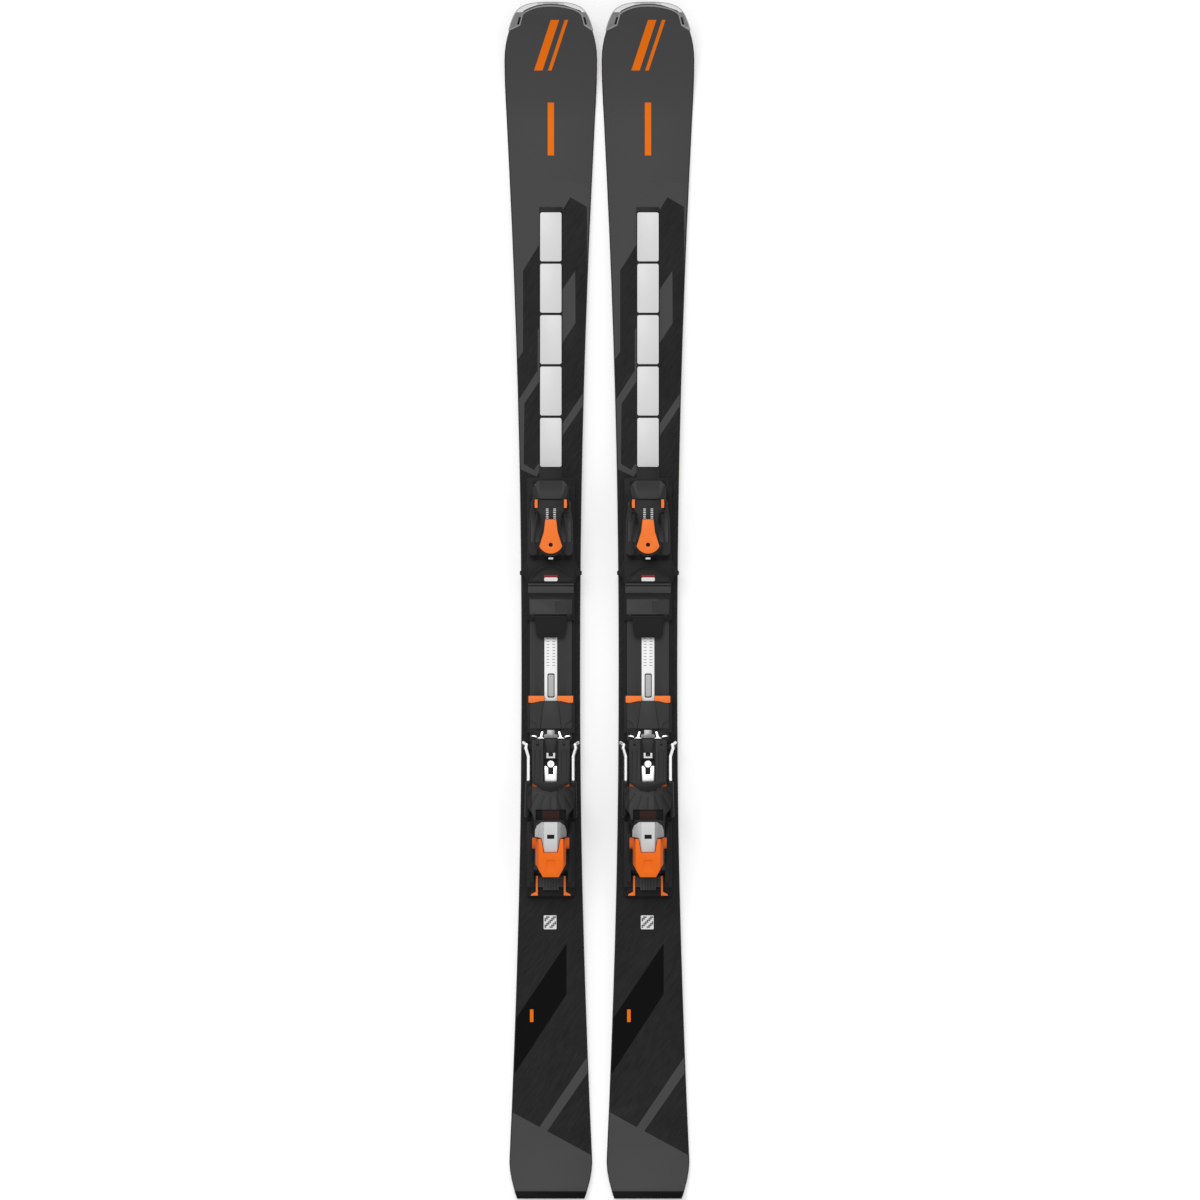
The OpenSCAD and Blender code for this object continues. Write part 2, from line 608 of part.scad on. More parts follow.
bar_back = 131;
ramp_front = 138;
ramp_half = 32;
front_claw = 85;
rib_half = 11;
rib_back = -141;
rib_front = -123;
clip_x = 15;
clip_t = 2.6;
module heel_base() color(dark) difference() {
  union() {
    along(claw_section, front_claw, ramp_front);
    along(claw_section, -137, -43);
    block([-heel_floor_w / 2, -44, floor_z], [heel_floor_w / 2, 86, deck_z]);
    for (s = [0, 1]) mirror([s, 0, 0]) {
      translate([(cheek_in + cheek_out) / 2, 0, 0]) across([[-47, floor_z], [-47, deck_z + 14], [-60, deck_z + 28],
        [-87, deck_z + 28], [-130, deck_z + 10], [-130, floor_z]], cheek_out - cheek_in);
      bar_across(heel_axis[0], heel_axis[1], cheek_in - 4.9, cheek_in + 1, heel_stud_r);
      block([lug_x - 1.6, pedal_axis_y - 4, floor_z], [lug_x + 1.6, pedal_axis_y + 4, pedal_top - 0.1]);
      bar(brake_pivot - 4.5 * brake_axis, brake_pivot + (brake_stub - wire_r - turn_gap) * brake_axis, brake_boss_r);
      block([heel_floor_w / 2 - 1, brake_pivot[1] - 5, floor_z], [brake_pivot[0], brake_pivot[1] + 2, deck_z]);
    }
    block([-rib_half, rib_back, floor_z], [rib_half, rib_front, deck_z + 6]);
    upright(both_sides([[5, 57], [8.6, 76]]), deck_z, deck_z + 1.4);
  }
  block([-strap_w / 2 - 0.6, 13, floor_z - 1], [strap_w / 2 + 0.6, 47, deck_z + 1]);
  block([-strap_w / 2 - slide_gap, bar_back, floor_z - 1], [strap_w / 2 + slide_gap, ramp_front + 1, deck_z + 1]);
  for (s = [0, 1]) mirror([s, 0, 0]) {
    bar_across(pedal_axis_y, pedal_axis_z, lug_x - 3, lug_x + 3, pedal_pin_r + pin_gap);
    bar(brake_pivot - 14 * brake_axis, brake_pivot + 14 * brake_axis, wire_r + pin_gap);
    bar_across(latch_y, latch_z, cheek_in - 1, cheek_out + 1, latch_r + pin_gap);
  }
  for (x = [-8:4:8]) block([x - 0.9, rib_back - 1, deck_z + 4.4], [x + 0.9, rib_front + 1, deck_z + 7]);
}
// Grey stand for the boot's heel with an orange bar ahead of it, and behind it the steel clips that hold the
// pedal's wire, the stop plate over the bolt and two orange wedges
module heel_ramp() {
  bar_edge = [[15, bar_back - 0.5], [26, bar_back - 3], [ramp_half, bar_back - 2.7]];
  color(orange) difference() {
    upright(both_sides(concat([[0, bar_back]], bar_edge, [[ramp_half, ramp_front]])), deck_z, deck_z + 4);
    block([-strap_w / 2 - slide_gap, bar_back - 4, deck_z - 1], [strap_w / 2 + slide_gap, ramp_front + 1, deck_z + 5]);
  }
  color(grey) difference() {
    across([[131.5, deck_z], [131.5, deck_z + 2.4], [91, deck_z + 4.5], [91, deck_z]], 60);
    upright(both_sides(concat([[0, bar_back]], bar_edge, [[ramp_half, ramp_front], [0, ramp_front]])), deck_z - 1,
      deck_z + 9);
    upright_pair([[9, 132], [10, 132], [16, 90], [15, 90]], deck_z + 2.2, deck_z + 9);
    upright_pair([[30.5, 104], [21, 98], [19, 90], [30.5, 90]], deck_z + 1.6, deck_z + 9);
  }
  color(steel) {
    upright(both_sides([[10, 77.6], [10, 82], [5.4, 83], [5.4, 89]]), deck_z, deck_z + 2);
    difference() {
      block([-6.2, 48.4, deck_z], [6.2, 56, deck_z + 1.2]);
      block([-3.4, 50.8, deck_z - 1], [3.4, 57, deck_z + 2]);
    }
    for (s = [0, 1]) mirror([s, 0, 0]) {
      upright([[clip_x + 5, 76.6], [clip_x - 6, 76.6], [clip_x - 2.6, 79.2], [clip_x - 4.4, 86.4], [clip_x - 2, 87],
        [clip_x + 0.6, 79.4]], deck_z, deck_z + clip_t);
      difference() {
        upright([[clip_x + 4.6, 78], [clip_x + 6, 80.6], [clip_x + 10, 81.4], [clip_x + 14, 80]], deck_z,
          deck_z + clip_t);
        translate([clip_x + 10.4, 74.4, deck_z - 1]) cylinder(h = clip_t + 2, r = 4.8);
      }
    }
  }
  color(orange) upright_pair([[14.5, 3], [26.8, 8.5], [26.8, 14.5], [20, 9.5]], deck_z, deck_z + 1.2);
}
// Pedal under the boot's heel, with the steel wire ends that lie on it
module brake_pedal() {
  color(dark) difference() {
    upright(both_sides([[0, 0.5], [8, 1], [12, 3], [27, 14], [27, 75], [0, 75]]), pedal_low, pedal_top);
    for (s = [0, 1]) mirror([s, 0, 0]) {
      block([lug_x - 2, pedal_axis_y - 5.5, pedal_low - 1], [lug_x + 2, 80, pedal_top + 1]);
      block([15, 16, pedal_top - 1], [16.2, 60, pedal_top + 1]);
      block([22, 16, pedal_top - 1], [23.2, 60, pedal_top + 1]);
    }
    block([-11, 14, pedal_low - 1], [11, 80, pedal_top + 1]);
  }
  color(dark) for (s = [0, 1]) mirror([s, 0, 0])
    bar_across(pedal_axis_y, pedal_axis_z, lug_x - 3, lug_x + 3, pedal_pin_r);
}
// Bent wire: straight bars with a slightly swollen bend between them
bend_swell = 0.2;
module joined_bars(points, r) {
  for (k = [0:len(points) - 2]) bar(points[k], points[k + 1], r);
  for (k = [1:len(points) - 2]) translate(points[k]) sphere(r = r + bend_swell);
}
function toward(from, to, len) = from + len * (to - from) / norm(to - from);
// Right-hand wire: pivot end, outward bend and the arm that runs back into the tip
module brake_wire() {
  last = brake_bends[len(brake_bends) - 1];
  joined_bars(concat([brake_pivot - brake_stub * brake_axis], brake_bends, [toward(last, brake_tip_end, 20)]), wire_r);
}
brake_tip_r = 4.6;
module brake_tip() {
  last = brake_bends[len(brake_bends) - 1];
  bore_r = wire_r + pin_gap;
  profile = concat([[bore_r, 2], [brake_tip_r - 1, 2], [brake_tip_r, 5], [brake_tip_r, brake_tip_len]],
    [for (a = [15:15:90]) [brake_tip_r * cos(a), brake_tip_len + brake_tip_r * sin(a)]],
    [[0, 20.5], [bore_r, 20.5]]);
  pointing(last, brake_tip_end) rotate_extrude() polygon(profile);
}
// Heel housing, seen from the side: rear pivot corner cut back so that it can tip up
housing_side = [[-40, 52], [-40, 94], [-46, 97], [-66, 97], [-80, 88], [-112, 80], [-112, 63.5], [-104, 57.5],
  [-80, 37], [-66, 36.5], [-50, 44]];
housing_section = both_sides([[housing_half, 30], [housing_half, 70], [20, 74], [20, 90], [13, 97.2], [0, 97.2]]);
heel_bore_r = 7.2;
lever_axis = [-73, 86.5];
lever_pin_r = 3.2;
module heel_housing() color(dark) difference() {
  union() {
    intersection() {
      across(housing_side, housing_w + 1);
      along(housing_section, -120, -30);
    }
    bar_across(lever_axis[0], lever_axis[1], -25.6, 25.6, lever_pin_r);
  }
  bar_along(heel_spring_z, -120, -56, heel_bore_r);
  for (s = [0, 1]) mirror([s, 0, 0])
    bar_across(heel_axis[0], heel_axis[1], cheek_in - 5.2, housing_half + 1, heel_stud_r + pin_gap);
}
jaw_top = [[10, 76], [-26, 90], [-40, 92]];
module heel_jaw() color(dark) difference() {
  intersection() {
    across(concat(jaw_top, [[-40, 52], [10, 52]]), jaw_w + 2);
    upright(both_sides([[0, 0], [11, 2], [16, 6], [28.5, 9], [33, 4], [jaw_w / 2, -8], [33, -22], [26, -32],
      [24, -40]]), 50, 100);
  }
  translate([0, heel_cup_r, 0]) cylinder(h = 72.3, r = heel_cup_r);
  block([-21.7, -50, 86], [21.7, -25, 100]);
  intersection() {
    across(concat(lifted(jaw_top, -1), backwards(lifted(jaw_top, 2))), jaw_w);
    for (a = [-60:15:60]) translate([0, 30, 60]) rotate(a) block([-0.8, -70, 0], [0.8, -37, 40]);
  }
}
// Silver cover with a tongue that reaches back over the lever, and an indicator window
module heel_top() color(steel) difference() {
  intersection() {
    across([[-43, 82], [-43, 98], [-47, 100.5], [-67, 100.5], [-86, 97.5], [-86, 94.7], [-66, 97.2], [-64, 82]], 60);
    upright(both_sides([[13, -43], [20, -48], [22.6, -55], [22.6, -64], [13, -66], [9.5, -86]]), 80, 110);
    along(both_sides([[22.6, 82], [22.6, 90.5], [14, 100.5], [0, 101]]), -90, -40);
  }
  intersection() {
    across(housing_side, 60);
    along(housing_section, -120, -30);
  }
  block([-5.2, -67, 99.3], [5.2, -61, 102]);
}
heel_spring_from = -102;
heel_spring_len = 34;
module heel_spring() color(steel) coil(heel_spring_from, heel_spring_len, heel_spring_z, 5.4, 1.3, 5);
module heel_screw() color(steel) difference() {
  union() {
    bar_along(heel_spring_z, -111, heel_spring_from, heel_bore_r - turn_gap);
    bar_along(heel_spring_z, heel_spring_from + heel_spring_len, -56, heel_bore_r - turn_gap);
  }
  block([-5, -113, heel_spring_z - 0.8], [5, -109, heel_spring_z + 0.8]);
}
// Orange lever with a sloping hollow for a pole tip, hung on the housing by two round ears
lever_half = lever_w / 2;
module heel_lever() color(orange) difference() {
  union() {
    intersection() {
      across([[-67, 98], [-67, 101.5], [-100, 99], [-122, 94], [-122, 89], [-100, 92], [-84, 93]], 60);
      upright(both_sides([[0, -86.6], [10.2, -86.6], [13.6, -66.5], [lever_half, -66.5], [lever_half, -103],
        [11.4, -122]]), 80, 110);
      along(both_sides([[lever_half, 80], [lever_half, 94], [17, 103], [0, 104]]), -130, -60);
    }
    for (s = [0, 1]) mirror([s, 0, 0]) {
      bar_across(lever_axis[0], lever_axis[1], 20.4, 26.6, 8);
      translate([21.2, 0, 0]) across([[-66, 86], [-66, 95], [-67, 98.3], [-84, 93.4], [-80, 86]], 1.6);
    }
  }
  bar_across(lever_axis[0], lever_axis[1], -40, 40, lever_pin_r + pin_gap);
  intersection() {
    across([[-97.5, 97.7], [-97.5, 105], [-115, 105], [-115, 95.5]], 20);
    upright(both_sides([[7.4, -115], [6.2, -98.6], [3, -97]]), 90, 110);
  }
}
// Orange latch: a cross rod in the cheeks with two prongs that end in outward feet
module heel_latch() color(orange) {
  bar_across(latch_y, latch_z, -cheek_out + 2, cheek_out - 2, latch_r);
  for (s = [0, 1]) mirror([s, 0, 0]) {
    block([prong_x - prong_w / 2, latch_end, deck_z + 0.6], [prong_x + prong_w / 2, latch_y, deck_z + 4.2]);
    translate([prong_x, latch_end, 0]) upright([[prong_w / 2, 0], [8.8, 0], [7.6, 2.2], [prong_w / 2, 5.5]],
      deck_z + 0.6, deck_z + 3.4);
  }
}

// ---- Everything in its place ----

module on_ski(side) {
  translate([(side == "left" ? -1 : 1) * ski_pitch / 2, 0, 0]) children();
}
module toe_part(side) {
  on_ski(side) translate([0, toe_y, 0]) children();
}
module heel_part(side) {
  on_ski(side) translate([0, heel_y, 0]) children();
}
running_bases();
steel_edges();
wood_cores();
sidewalls();
topsheets();
end_guards();
damper_plates();
binding_rails();
rail_screws();
steel_straps();
for (side = SIDES) {
  toe_part(side) toe_base();
  toe_part(side) toe_housing();
  toe_part(side) toe_cap();
  toe_part(side) toe_wedge();
  toe_part(side) toe_spring();
  toe_part(side) toe_screw();
  toe_part(side) wing_pins();
  toe_part(side) color(dark) mirror([1, 0, 0]) toe_wing();
  toe_part(side) color(dark) toe_wing();
  toe_part(side) slider_plate();
  toe_part(side) lock_lever();
  heel_part(side) heel_base();
  heel_part(side) heel_ramp();
  heel_part(side) brake_pedal();
  heel_part(side) color(steel) mirror([1, 0, 0]) brake_wire();
  heel_part(side) color(steel) brake_wire();
  heel_part(side) color(black) mirror([1, 0, 0]) brake_tip();
  heel_part(side) color(black) brake_tip();
  heel_part(side) heel_housing();
  heel_part(side) heel_jaw();
  heel_part(side) heel_top();
  heel_part(side) heel_spring();
  heel_part(side) heel_screw();
  heel_part(side) heel_lever();
  heel_part(side) heel_latch();
}
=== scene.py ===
import json
import math

import bmesh
import bpy
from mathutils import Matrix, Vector
from mathutils.bvhtree import BVHTree


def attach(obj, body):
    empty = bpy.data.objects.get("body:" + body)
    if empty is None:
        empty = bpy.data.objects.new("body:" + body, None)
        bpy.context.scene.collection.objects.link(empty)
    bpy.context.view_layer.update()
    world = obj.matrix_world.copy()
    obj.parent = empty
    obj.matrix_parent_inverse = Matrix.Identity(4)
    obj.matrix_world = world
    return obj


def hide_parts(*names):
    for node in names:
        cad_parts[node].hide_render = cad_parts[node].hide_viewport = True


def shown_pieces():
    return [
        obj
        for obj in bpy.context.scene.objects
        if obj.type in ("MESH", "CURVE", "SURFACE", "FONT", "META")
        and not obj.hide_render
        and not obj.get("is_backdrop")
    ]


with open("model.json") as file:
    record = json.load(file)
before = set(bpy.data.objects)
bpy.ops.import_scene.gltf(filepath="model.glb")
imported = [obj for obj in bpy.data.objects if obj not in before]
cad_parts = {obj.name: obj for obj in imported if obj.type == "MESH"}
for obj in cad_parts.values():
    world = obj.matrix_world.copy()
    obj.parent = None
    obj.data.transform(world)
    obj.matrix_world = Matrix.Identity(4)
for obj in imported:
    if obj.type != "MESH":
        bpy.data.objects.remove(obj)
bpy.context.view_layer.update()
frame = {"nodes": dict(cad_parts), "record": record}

MM = 0.001
SIDES = ("left", "right")
scene = bpy.context.scene
nodes = frame["nodes"]

# ---- Photograph and camera ----

# Width and height of the photograph in pixels
W = H = 1200
# Image points: edges of the pair, and the middles of features, in the photograph's pixels
POINTS = {
    "pair_left": (504.4, 60.0),
    "pair_right": (694.4, 60.0),
    "pair_top": (550.8, 1.0),
    "pair_bottom": (550.8, 1199.0),
    "left_first_plate": (550.9, 236.9),
    "right_last_plate": (648.1, 442.4),
    "left_force_marks": (550.9, 514.0),
    "left_wedge_hole": (551.0, 544.9),
    "left_toe_clip": (550.8, 558.4),
    "left_badge": (550.9, 578.8),
    "left_strap_marks": (550.8, 652.5),
    "left_strap_label": (551.0, 685.5),
    "left_top_window": (551.0, 836.4),
    "left_code_label": (550.1, 922.3),
}
# Far-off camera that looks straight down with +Y up: place in metres, lens and sensor in millimetres
CAMERA_AT = Vector((0.00086, 0.00072, 40.03))
LENS = 835.0
SENSOR = 36.0
FOCAL_PIXELS = W * LENS / SENSOR

camera_data = bpy.data.cameras.new("camera")
camera_data.lens = LENS
camera_data.sensor_width = SENSOR
camera_data.sensor_fit = "AUTO"
camera_data.clip_start = 0.1
camera_data.clip_end = 200.0
camera = bpy.data.objects.new("camera", camera_data)
camera.location = CAMERA_AT
scene.collection.objects.link(camera)
scene.camera = camera
bpy.context.view_layer.update()


def ray_of(point):
    """Direction from the camera through an image point."""
    x, y = point
    return Vector((x - W / 2, H / 2 - y, -FOCAL_PIXELS)).normalized()


def shown_at(v):
    """Image point at which a place in the frame shows."""
    d = Vector(v) - CAMERA_AT
    scale = FOCAL_PIXELS / -d.z
    return (W / 2 + d.x * scale, H / 2 - d.y * scale)


# ---- Materials ----

# Width of the cloudy pattern, its share in the colour against the grain's, and the part of the sum that is used
CLOUD_SCALE, CLOUD_SHARE = 18.0, 0.3
PATTERN_LOW, PATTERN_HIGH = 0.32, 0.68
ROUGH_VARY, COAT_ROUGH, BUMP_DEPTH = 0.05, 0.12, 0.0002


def linear(colour):
    """Scene colour of a display colour given from 0 to 255."""
    return [pow((c / 255 + 0.055) / 1.055, 2.4) if c > 10.3 else c / 255 / 12.92 for c in colour] + [1.0]


def grey(v):
    return (v, v, v)


def noise(tree, scale, detail, place):
    """Noise pattern over a place's coordinates."""
    pattern = tree.nodes.new("ShaderNodeTexNoise")
    pattern.inputs["Scale"].default_value = scale
    pattern.inputs["Detail"].default_value = detail
    tree.links.new(place, pattern.inputs["Vector"])
    return pattern


def material(name, colour, rough, spec=0.1, metal=0.0, vary=0.05, grain=900.0, streak=(1, 1, 1), turn=0.0,
             bump=0.06, coat=0.0):
    """Moulded, printed or metal finish: cloudy and grainy colour, uneven roughness and a fine bump."""
    m = bpy.data.materials.new(name)
    m.use_nodes = True
    tree = m.node_tree
    tree.nodes.clear()
    add, link = tree.nodes.new, tree.links.new
    out = add("ShaderNodeOutputMaterial")
    bsdf = add("ShaderNodeBsdfPrincipled")
    link(bsdf.outputs["BSDF"], out.inputs["Surface"])
    bsdf.inputs["Metallic"].default_value = metal
    bsdf.inputs["Specular IOR Level"].default_value = spec
    bsdf.inputs["Coat Weight"].default_value = coat
    bsdf.inputs["Coat Roughness"].default_value = COAT_ROUGH
    coords = add("ShaderNodeTexCoord")
    mapping = add("ShaderNodeMapping")
    mapping.vector_type = "TEXTURE"
    mapping.inputs["Scale"].default_value = streak
    mapping.inputs["Rotation"].default_value = (0, 0, turn)
    link(coords.outputs["Object"], mapping.inputs["Vector"])
    fine = noise(tree, grain, 4.0, mapping.outputs["Vector"])
    fine.inputs["Roughness"].default_value = 0.6
    wide = noise(tree, CLOUD_SCALE, 3.0, coords.outputs["Object"])
    mix = add("ShaderNodeMath")
    mix.operation = "MULTIPLY_ADD"
    mix.inputs[1].default_value = CLOUD_SHARE
    link(wide.outputs["Fac"], mix.inputs[0])
    share = add("ShaderNodeMath")
    share.operation = "MULTIPLY"
    share.inputs[1].default_value = 1 - CLOUD_SHARE
    link(fine.outputs["Fac"], share.inputs[0])
    link(share.outputs["Value"], mix.inputs[2])
    ramp = add("ShaderNodeValToRGB")
    base = linear(colour)
    ramp.color_ramp.elements[0].position = PATTERN_LOW
    ramp.color_ramp.elements[0].color = [c * (1 - vary) for c in base[:3]] + [1.0]
    ramp.color_ramp.elements[1].position = PATTERN_HIGH
    ramp.color_ramp.elements[1].color = [min(1.0, c * (1 + vary)) for c in base[:3]] + [1.0]
    link(mix.outputs["Value"], ramp.inputs["Fac"])
    link(ramp.outputs["Color"], bsdf.inputs["Base Color"])
    spread = add("ShaderNodeMapRange")
    spread.inputs["To Min"].default_value = rough - ROUGH_VARY
    spread.inputs["To Max"].default_value = rough + ROUGH_VARY
    link(fine.outputs["Fac"], spread.inputs["Value"])
    link(spread.outputs["Result"], bsdf.inputs["Roughness"])
    relief = add("ShaderNodeBump")
    relief.inputs["Strength"].default_value = bump
    relief.inputs["Distance"].default_value = BUMP_DEPTH
    link(fine.outputs["Fac"], relief.inputs["Height"])
    link(relief.outputs["Normal"], bsdf.inputs["Normal"])
    return m


# The dark print's streaks climb to the right
STREAK_TURN = math.radians(-34)
# A shell's number is about the grey, from 0 to 255, that it shows in the render. The shells are one moulded
# plastic, and its lighter and darker copies are painted light, painted shade and painted highlights, set by the
# light from the left
FINISHES = {
    "print_grey": dict(colour=grey(68), rough=0.42, vary=0.03, grain=500, bump=0.03),
    "print_dark": dict(colour=grey(29), rough=0.46, vary=0.42, grain=330, streak=(1, 7, 1), turn=STREAK_TURN,
                           bump=0.14),
    "print_black": dict(colour=grey(6), rough=0.4, spec=0.05, vary=0.1, grain=500, bump=0.03),
    "print_orange": dict(colour=(235, 112, 6), rough=0.42, vary=0.04, grain=500, bump=0.03),
    "sidewall": dict(colour=(42, 35, 31), rough=0.4, vary=0.12, grain=400, streak=(1, 20, 1)),
    "edge_steel": dict(colour=(150, 148, 146), rough=0.32, metal=1.0, vary=0.06, grain=600, streak=(1, 30, 1)),
    "base_black": dict(colour=grey(20), rough=0.5, vary=0.12, grain=700, streak=(1, 25, 1)),
    "wood": dict(colour=(176, 138, 92), rough=0.7, vary=0.22, grain=160, streak=(1, 25, 1)),
    "plate": dict(colour=grey(219), rough=0.36, spec=0.3, vary=0.02, grain=700, bump=0.04),
    "guard_band": dict(colour=grey(240), rough=0.18, spec=0.5, vary=0.02, grain=400, coat=0.5),
    "guard_mid": dict(colour=grey(206), rough=0.2, spec=0.4, vary=0.03, grain=400, coat=0.4),
    "guard_rim": dict(colour=grey(176), rough=0.2, spec=0.4, vary=0.03, grain=400, coat=0.4),
    "guard_inner": dict(colour=grey(146), rough=0.2, spec=0.4, vary=0.04, grain=400, coat=0.2),
    "guard_line": dict(colour=grey(72), rough=0.3, vary=0.05, grain=400),
    "guard_ear": dict(colour=grey(122), rough=0.22, spec=0.4, vary=0.22, grain=260, streak=(1, 9, 1), coat=0.4),
    "guard_black": dict(colour=grey(8), rough=0.42, spec=0.06, vary=0.3, grain=900, streak=(1, 30, 1)),
    "shell_38": dict(colour=grey(29), rough=0.45),
    "shell_45": dict(colour=grey(38), rough=0.45),
    "shell_52": dict(colour=grey(46), rough=0.46),
    "shell_58": dict(colour=grey(52), rough=0.46),
    "shell_64": dict(colour=grey(57), rough=0.46),
    "shell_70": dict(colour=grey(63), rough=0.46),
    "shell_75": dict(colour=grey(75), rough=0.46),
    "shell_90": dict(colour=grey(86), rough=0.46),
    "shell_120": dict(colour=grey(114), rough=0.46),
    "orange": dict(colour=(249, 124, 50), rough=0.38, spec=0.15, vary=0.04),
    "orange_deep": dict(colour=(243, 110, 26), rough=0.4, spec=0.12, vary=0.05),
    # Darker orange: painted shade on the heel lever's outer sides and on the toe wedge's rounded rims
    "orange_shade": dict(colour=(204, 92, 34), rough=0.42, spec=0.12, vary=0.05),
    # Darker silver: painted shade on the heel top's curved sides
    "silver_side_shade": dict(colour=grey(180), rough=0.36, spec=0.4, vary=0.22, grain=420),
    "silver": dict(colour=grey(206), rough=0.34, spec=0.4, vary=0.03),
    # Darker still: painted shade on the heel top's right side, away from the light
    "silver_right_shade": dict(colour=grey(140), rough=0.36, spec=0.4, vary=0.22, grain=420),
    # Darker, mottled steel
    "steel_mottled": dict(colour=grey(122), rough=0.36, metal=1.0, vary=0.3, grain=260, streak=(1, 3, 1)),
    "steel": dict(colour=(246, 246, 248), rough=0.26, metal=1.0, vary=0.03, grain=500, streak=(1, 20, 1)),
    "wire": dict(colour=grey(236), rough=0.3, metal=1.0, vary=0.02, grain=500),
    "strap": dict(colour=grey(240), rough=0.34, spec=0.4, vary=0.02, grain=700, streak=(14, 1, 1)),
    "clip": dict(colour=grey(232), rough=0.34, spec=0.4, vary=0.02, grain=700),
    "mark_white": dict(colour=grey(226), rough=0.5, vary=0.03),
    "mark_pale": dict(colour=grey(156), rough=0.5, vary=0.05),
    "mark_panel": dict(colour=grey(184), rough=0.5, vary=0.05),
    "mark_dark": dict(colour=grey(66), rough=0.5, vary=0.05),
    "mark_red": dict(colour=(150, 40, 48), rough=0.5, vary=0.05),
    # Dark greys, the second warmer, as painted shade in the heel jaw's top recess and in the heel top's window
    "recess_shade": dict(colour=grey(30), rough=0.6, spec=0.05),
    "recess_warm": dict(colour=(58, 41, 39), rough=0.6, spec=0.05, vary=0.12),
}
MATS = {name: material(name, **finish) for name, finish in FINISHES.items()}

# ---- Copies of the CAD nodes, in millimetres ----

# Points this near are one: in copies of the CAD nodes, and in cuts and finished pieces
MERGE_DIST, FINE_DIST = 0.002, 1e-4
# Angles in degrees: up to the first, faces are joined; from the next two, edges and rims are rounded; from the
# last two, edges of CAD nodes and of finished pieces are shaded sharp
FLAT_ANGLE, ROUND_ANGLE, RIM_ANGLE = 1, 25, 50
NODE_SMOOTH, PIECE_SMOOTH = 30, 35
# A rounded shape is kept only if it stays this near its box, in millimetres, and its volume, as a share of it
BOX_SLACK, VOLUME_SLACK = 0.05, 0.06


def body_of(node):
    """Body that carries a node."""
    return next(b for b, names in frame["record"]["behaviour"]["bodies"].items() if node in names)


def copy_of(name):
    """Bmesh of a CAD node, in millimetres."""
    bm = bmesh.new()
    bm.from_mesh(nodes[name].data)
    bmesh.ops.scale(bm, verts=bm.verts, vec=(1 / MM, 1 / MM, 1 / MM))
    bmesh.ops.remove_doubles(bm, verts=bm.verts, dist=MERGE_DIST)
    return bm


def cut_plane(bm, axis, value):
    """Cuts all faces along the plane at a value of an axis."""
    bmesh.ops.bisect_plane(bm, geom=bm.verts[:] + bm.edges[:] + bm.faces[:], dist=FINE_DIST,
                           plane_co=(value, value, value), plane_no=[float(k == axis) for k in range(3)])


def edges_over(bm, angle):
    """Edges between two faces that meet at more than an angle in degrees."""
    return [e for e in bm.edges if len(e.link_faces) == 2 and e.calc_face_angle(0) > math.radians(angle)]


def to_object(bm, name, keys, x=0.0):
    """Makes an object in metres from a bmesh in millimetres."""
    bmesh.ops.remove_doubles(bm, verts=bm.verts, dist=FINE_DIST)
    bmesh.ops.translate(bm, verts=bm.verts, vec=(x, 0, 0))
    bmesh.ops.scale(bm, verts=bm.verts, vec=(MM, MM, MM))
    mesh = bpy.data.meshes.new(name)
    bm.to_mesh(mesh)
    bm.free()
    for key in keys:
        mesh.materials.append(MATS[key])
    mesh.polygons.foreach_set("use_smooth", [True] * len(mesh.polygons))
    mesh.set_sharp_from_angle(angle=math.radians(PIECE_SMOOTH))
    obj = bpy.data.objects.new(name, mesh)
    scene.collection.objects.link(obj)
    return obj


def rounded(bm, offset, finish):
    """Same shape with its sharp edges rounded off, or just as it was if that would spoil its box or its volume.

    finish is the number of the new faces' finish, or -1 for their neighbours'.
    """
    whole = bm.copy()
    bmesh.ops.dissolve_limit(bm, angle_limit=math.radians(FLAT_ANGLE), verts=bm.verts, edges=bm.edges,
                             delimit={"MATERIAL"})
    bmesh.ops.bevel(bm, geom=edges_over(bm, ROUND_ANGLE), offset=offset, offset_type="OFFSET", segments=2,
                    profile=0.5, affect="EDGES", clamp_overlap=True, loop_slide=True, material=finish)
    low = [min(v.co[i] for v in whole.verts) - BOX_SLACK for i in range(3)]
    high = [max(v.co[i] for v in whole.verts) + BOX_SLACK for i in range(3)]
    fits = all(low[i] <= v.co[i] <= high[i] for v in bm.verts for i in range(3))
    volume = whole.calc_volume()
    if fits and abs(bm.calc_volume() - volume) <= VOLUME_SLACK * volume:
        whole.free()
        return bm
    bm.free()
    return whole


def soften(name, key, zones=(), cuts=(), round_off=0.35, edge=None, change=None):
    """Same shape as a CAD node, its edges slightly rounded, with other finishes on the faces that tests choose.

    zones holds (finish, test) pairs of which the last that fits counts, cuts holds (axis, value) planes along
    which faces are divided first, and edge is the rounded edges' finish: a grey lighter than the body's paints a
    highlight along them, and a darker tone paints shade. change moves each point at the start, and a copy that
    it changes keeps its sharp edges.
    """
    bm = copy_of(name)
    if change:
        for v in bm.verts:
            v.co = change(v.co)
    for axis, value in cuts:
        cut_plane(bm, axis, value)
    keys = [key]
    for extra, test in zones:
        keys.append(extra)
        for f in bm.faces:
            if test(f.calc_center_median(), f.normal):
                f.material_index = len(keys) - 1
    keys.append(edge or key)
    if not change:
        bm = rounded(bm, round_off, len(keys) - 1 if edge else -1)
    piece = to_object(bm, name + "_moulded", keys)
    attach(piece, body_of(name))
    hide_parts(name)


def finish_node(name, key):
    """Gives a CAD node its material and smooth shading."""
    mesh = nodes[name].data
    mesh.materials.clear()
    mesh.materials.append(MATS[key])
    mesh.polygons.foreach_set("use_smooth", [True] * len(mesh.polygons))
    mesh.set_sharp_from_angle(angle=math.radians(NODE_SMOOTH))


# ---- The ski's form: the CAD model's, apart from the tip's shoulders and the swell of the sides ----

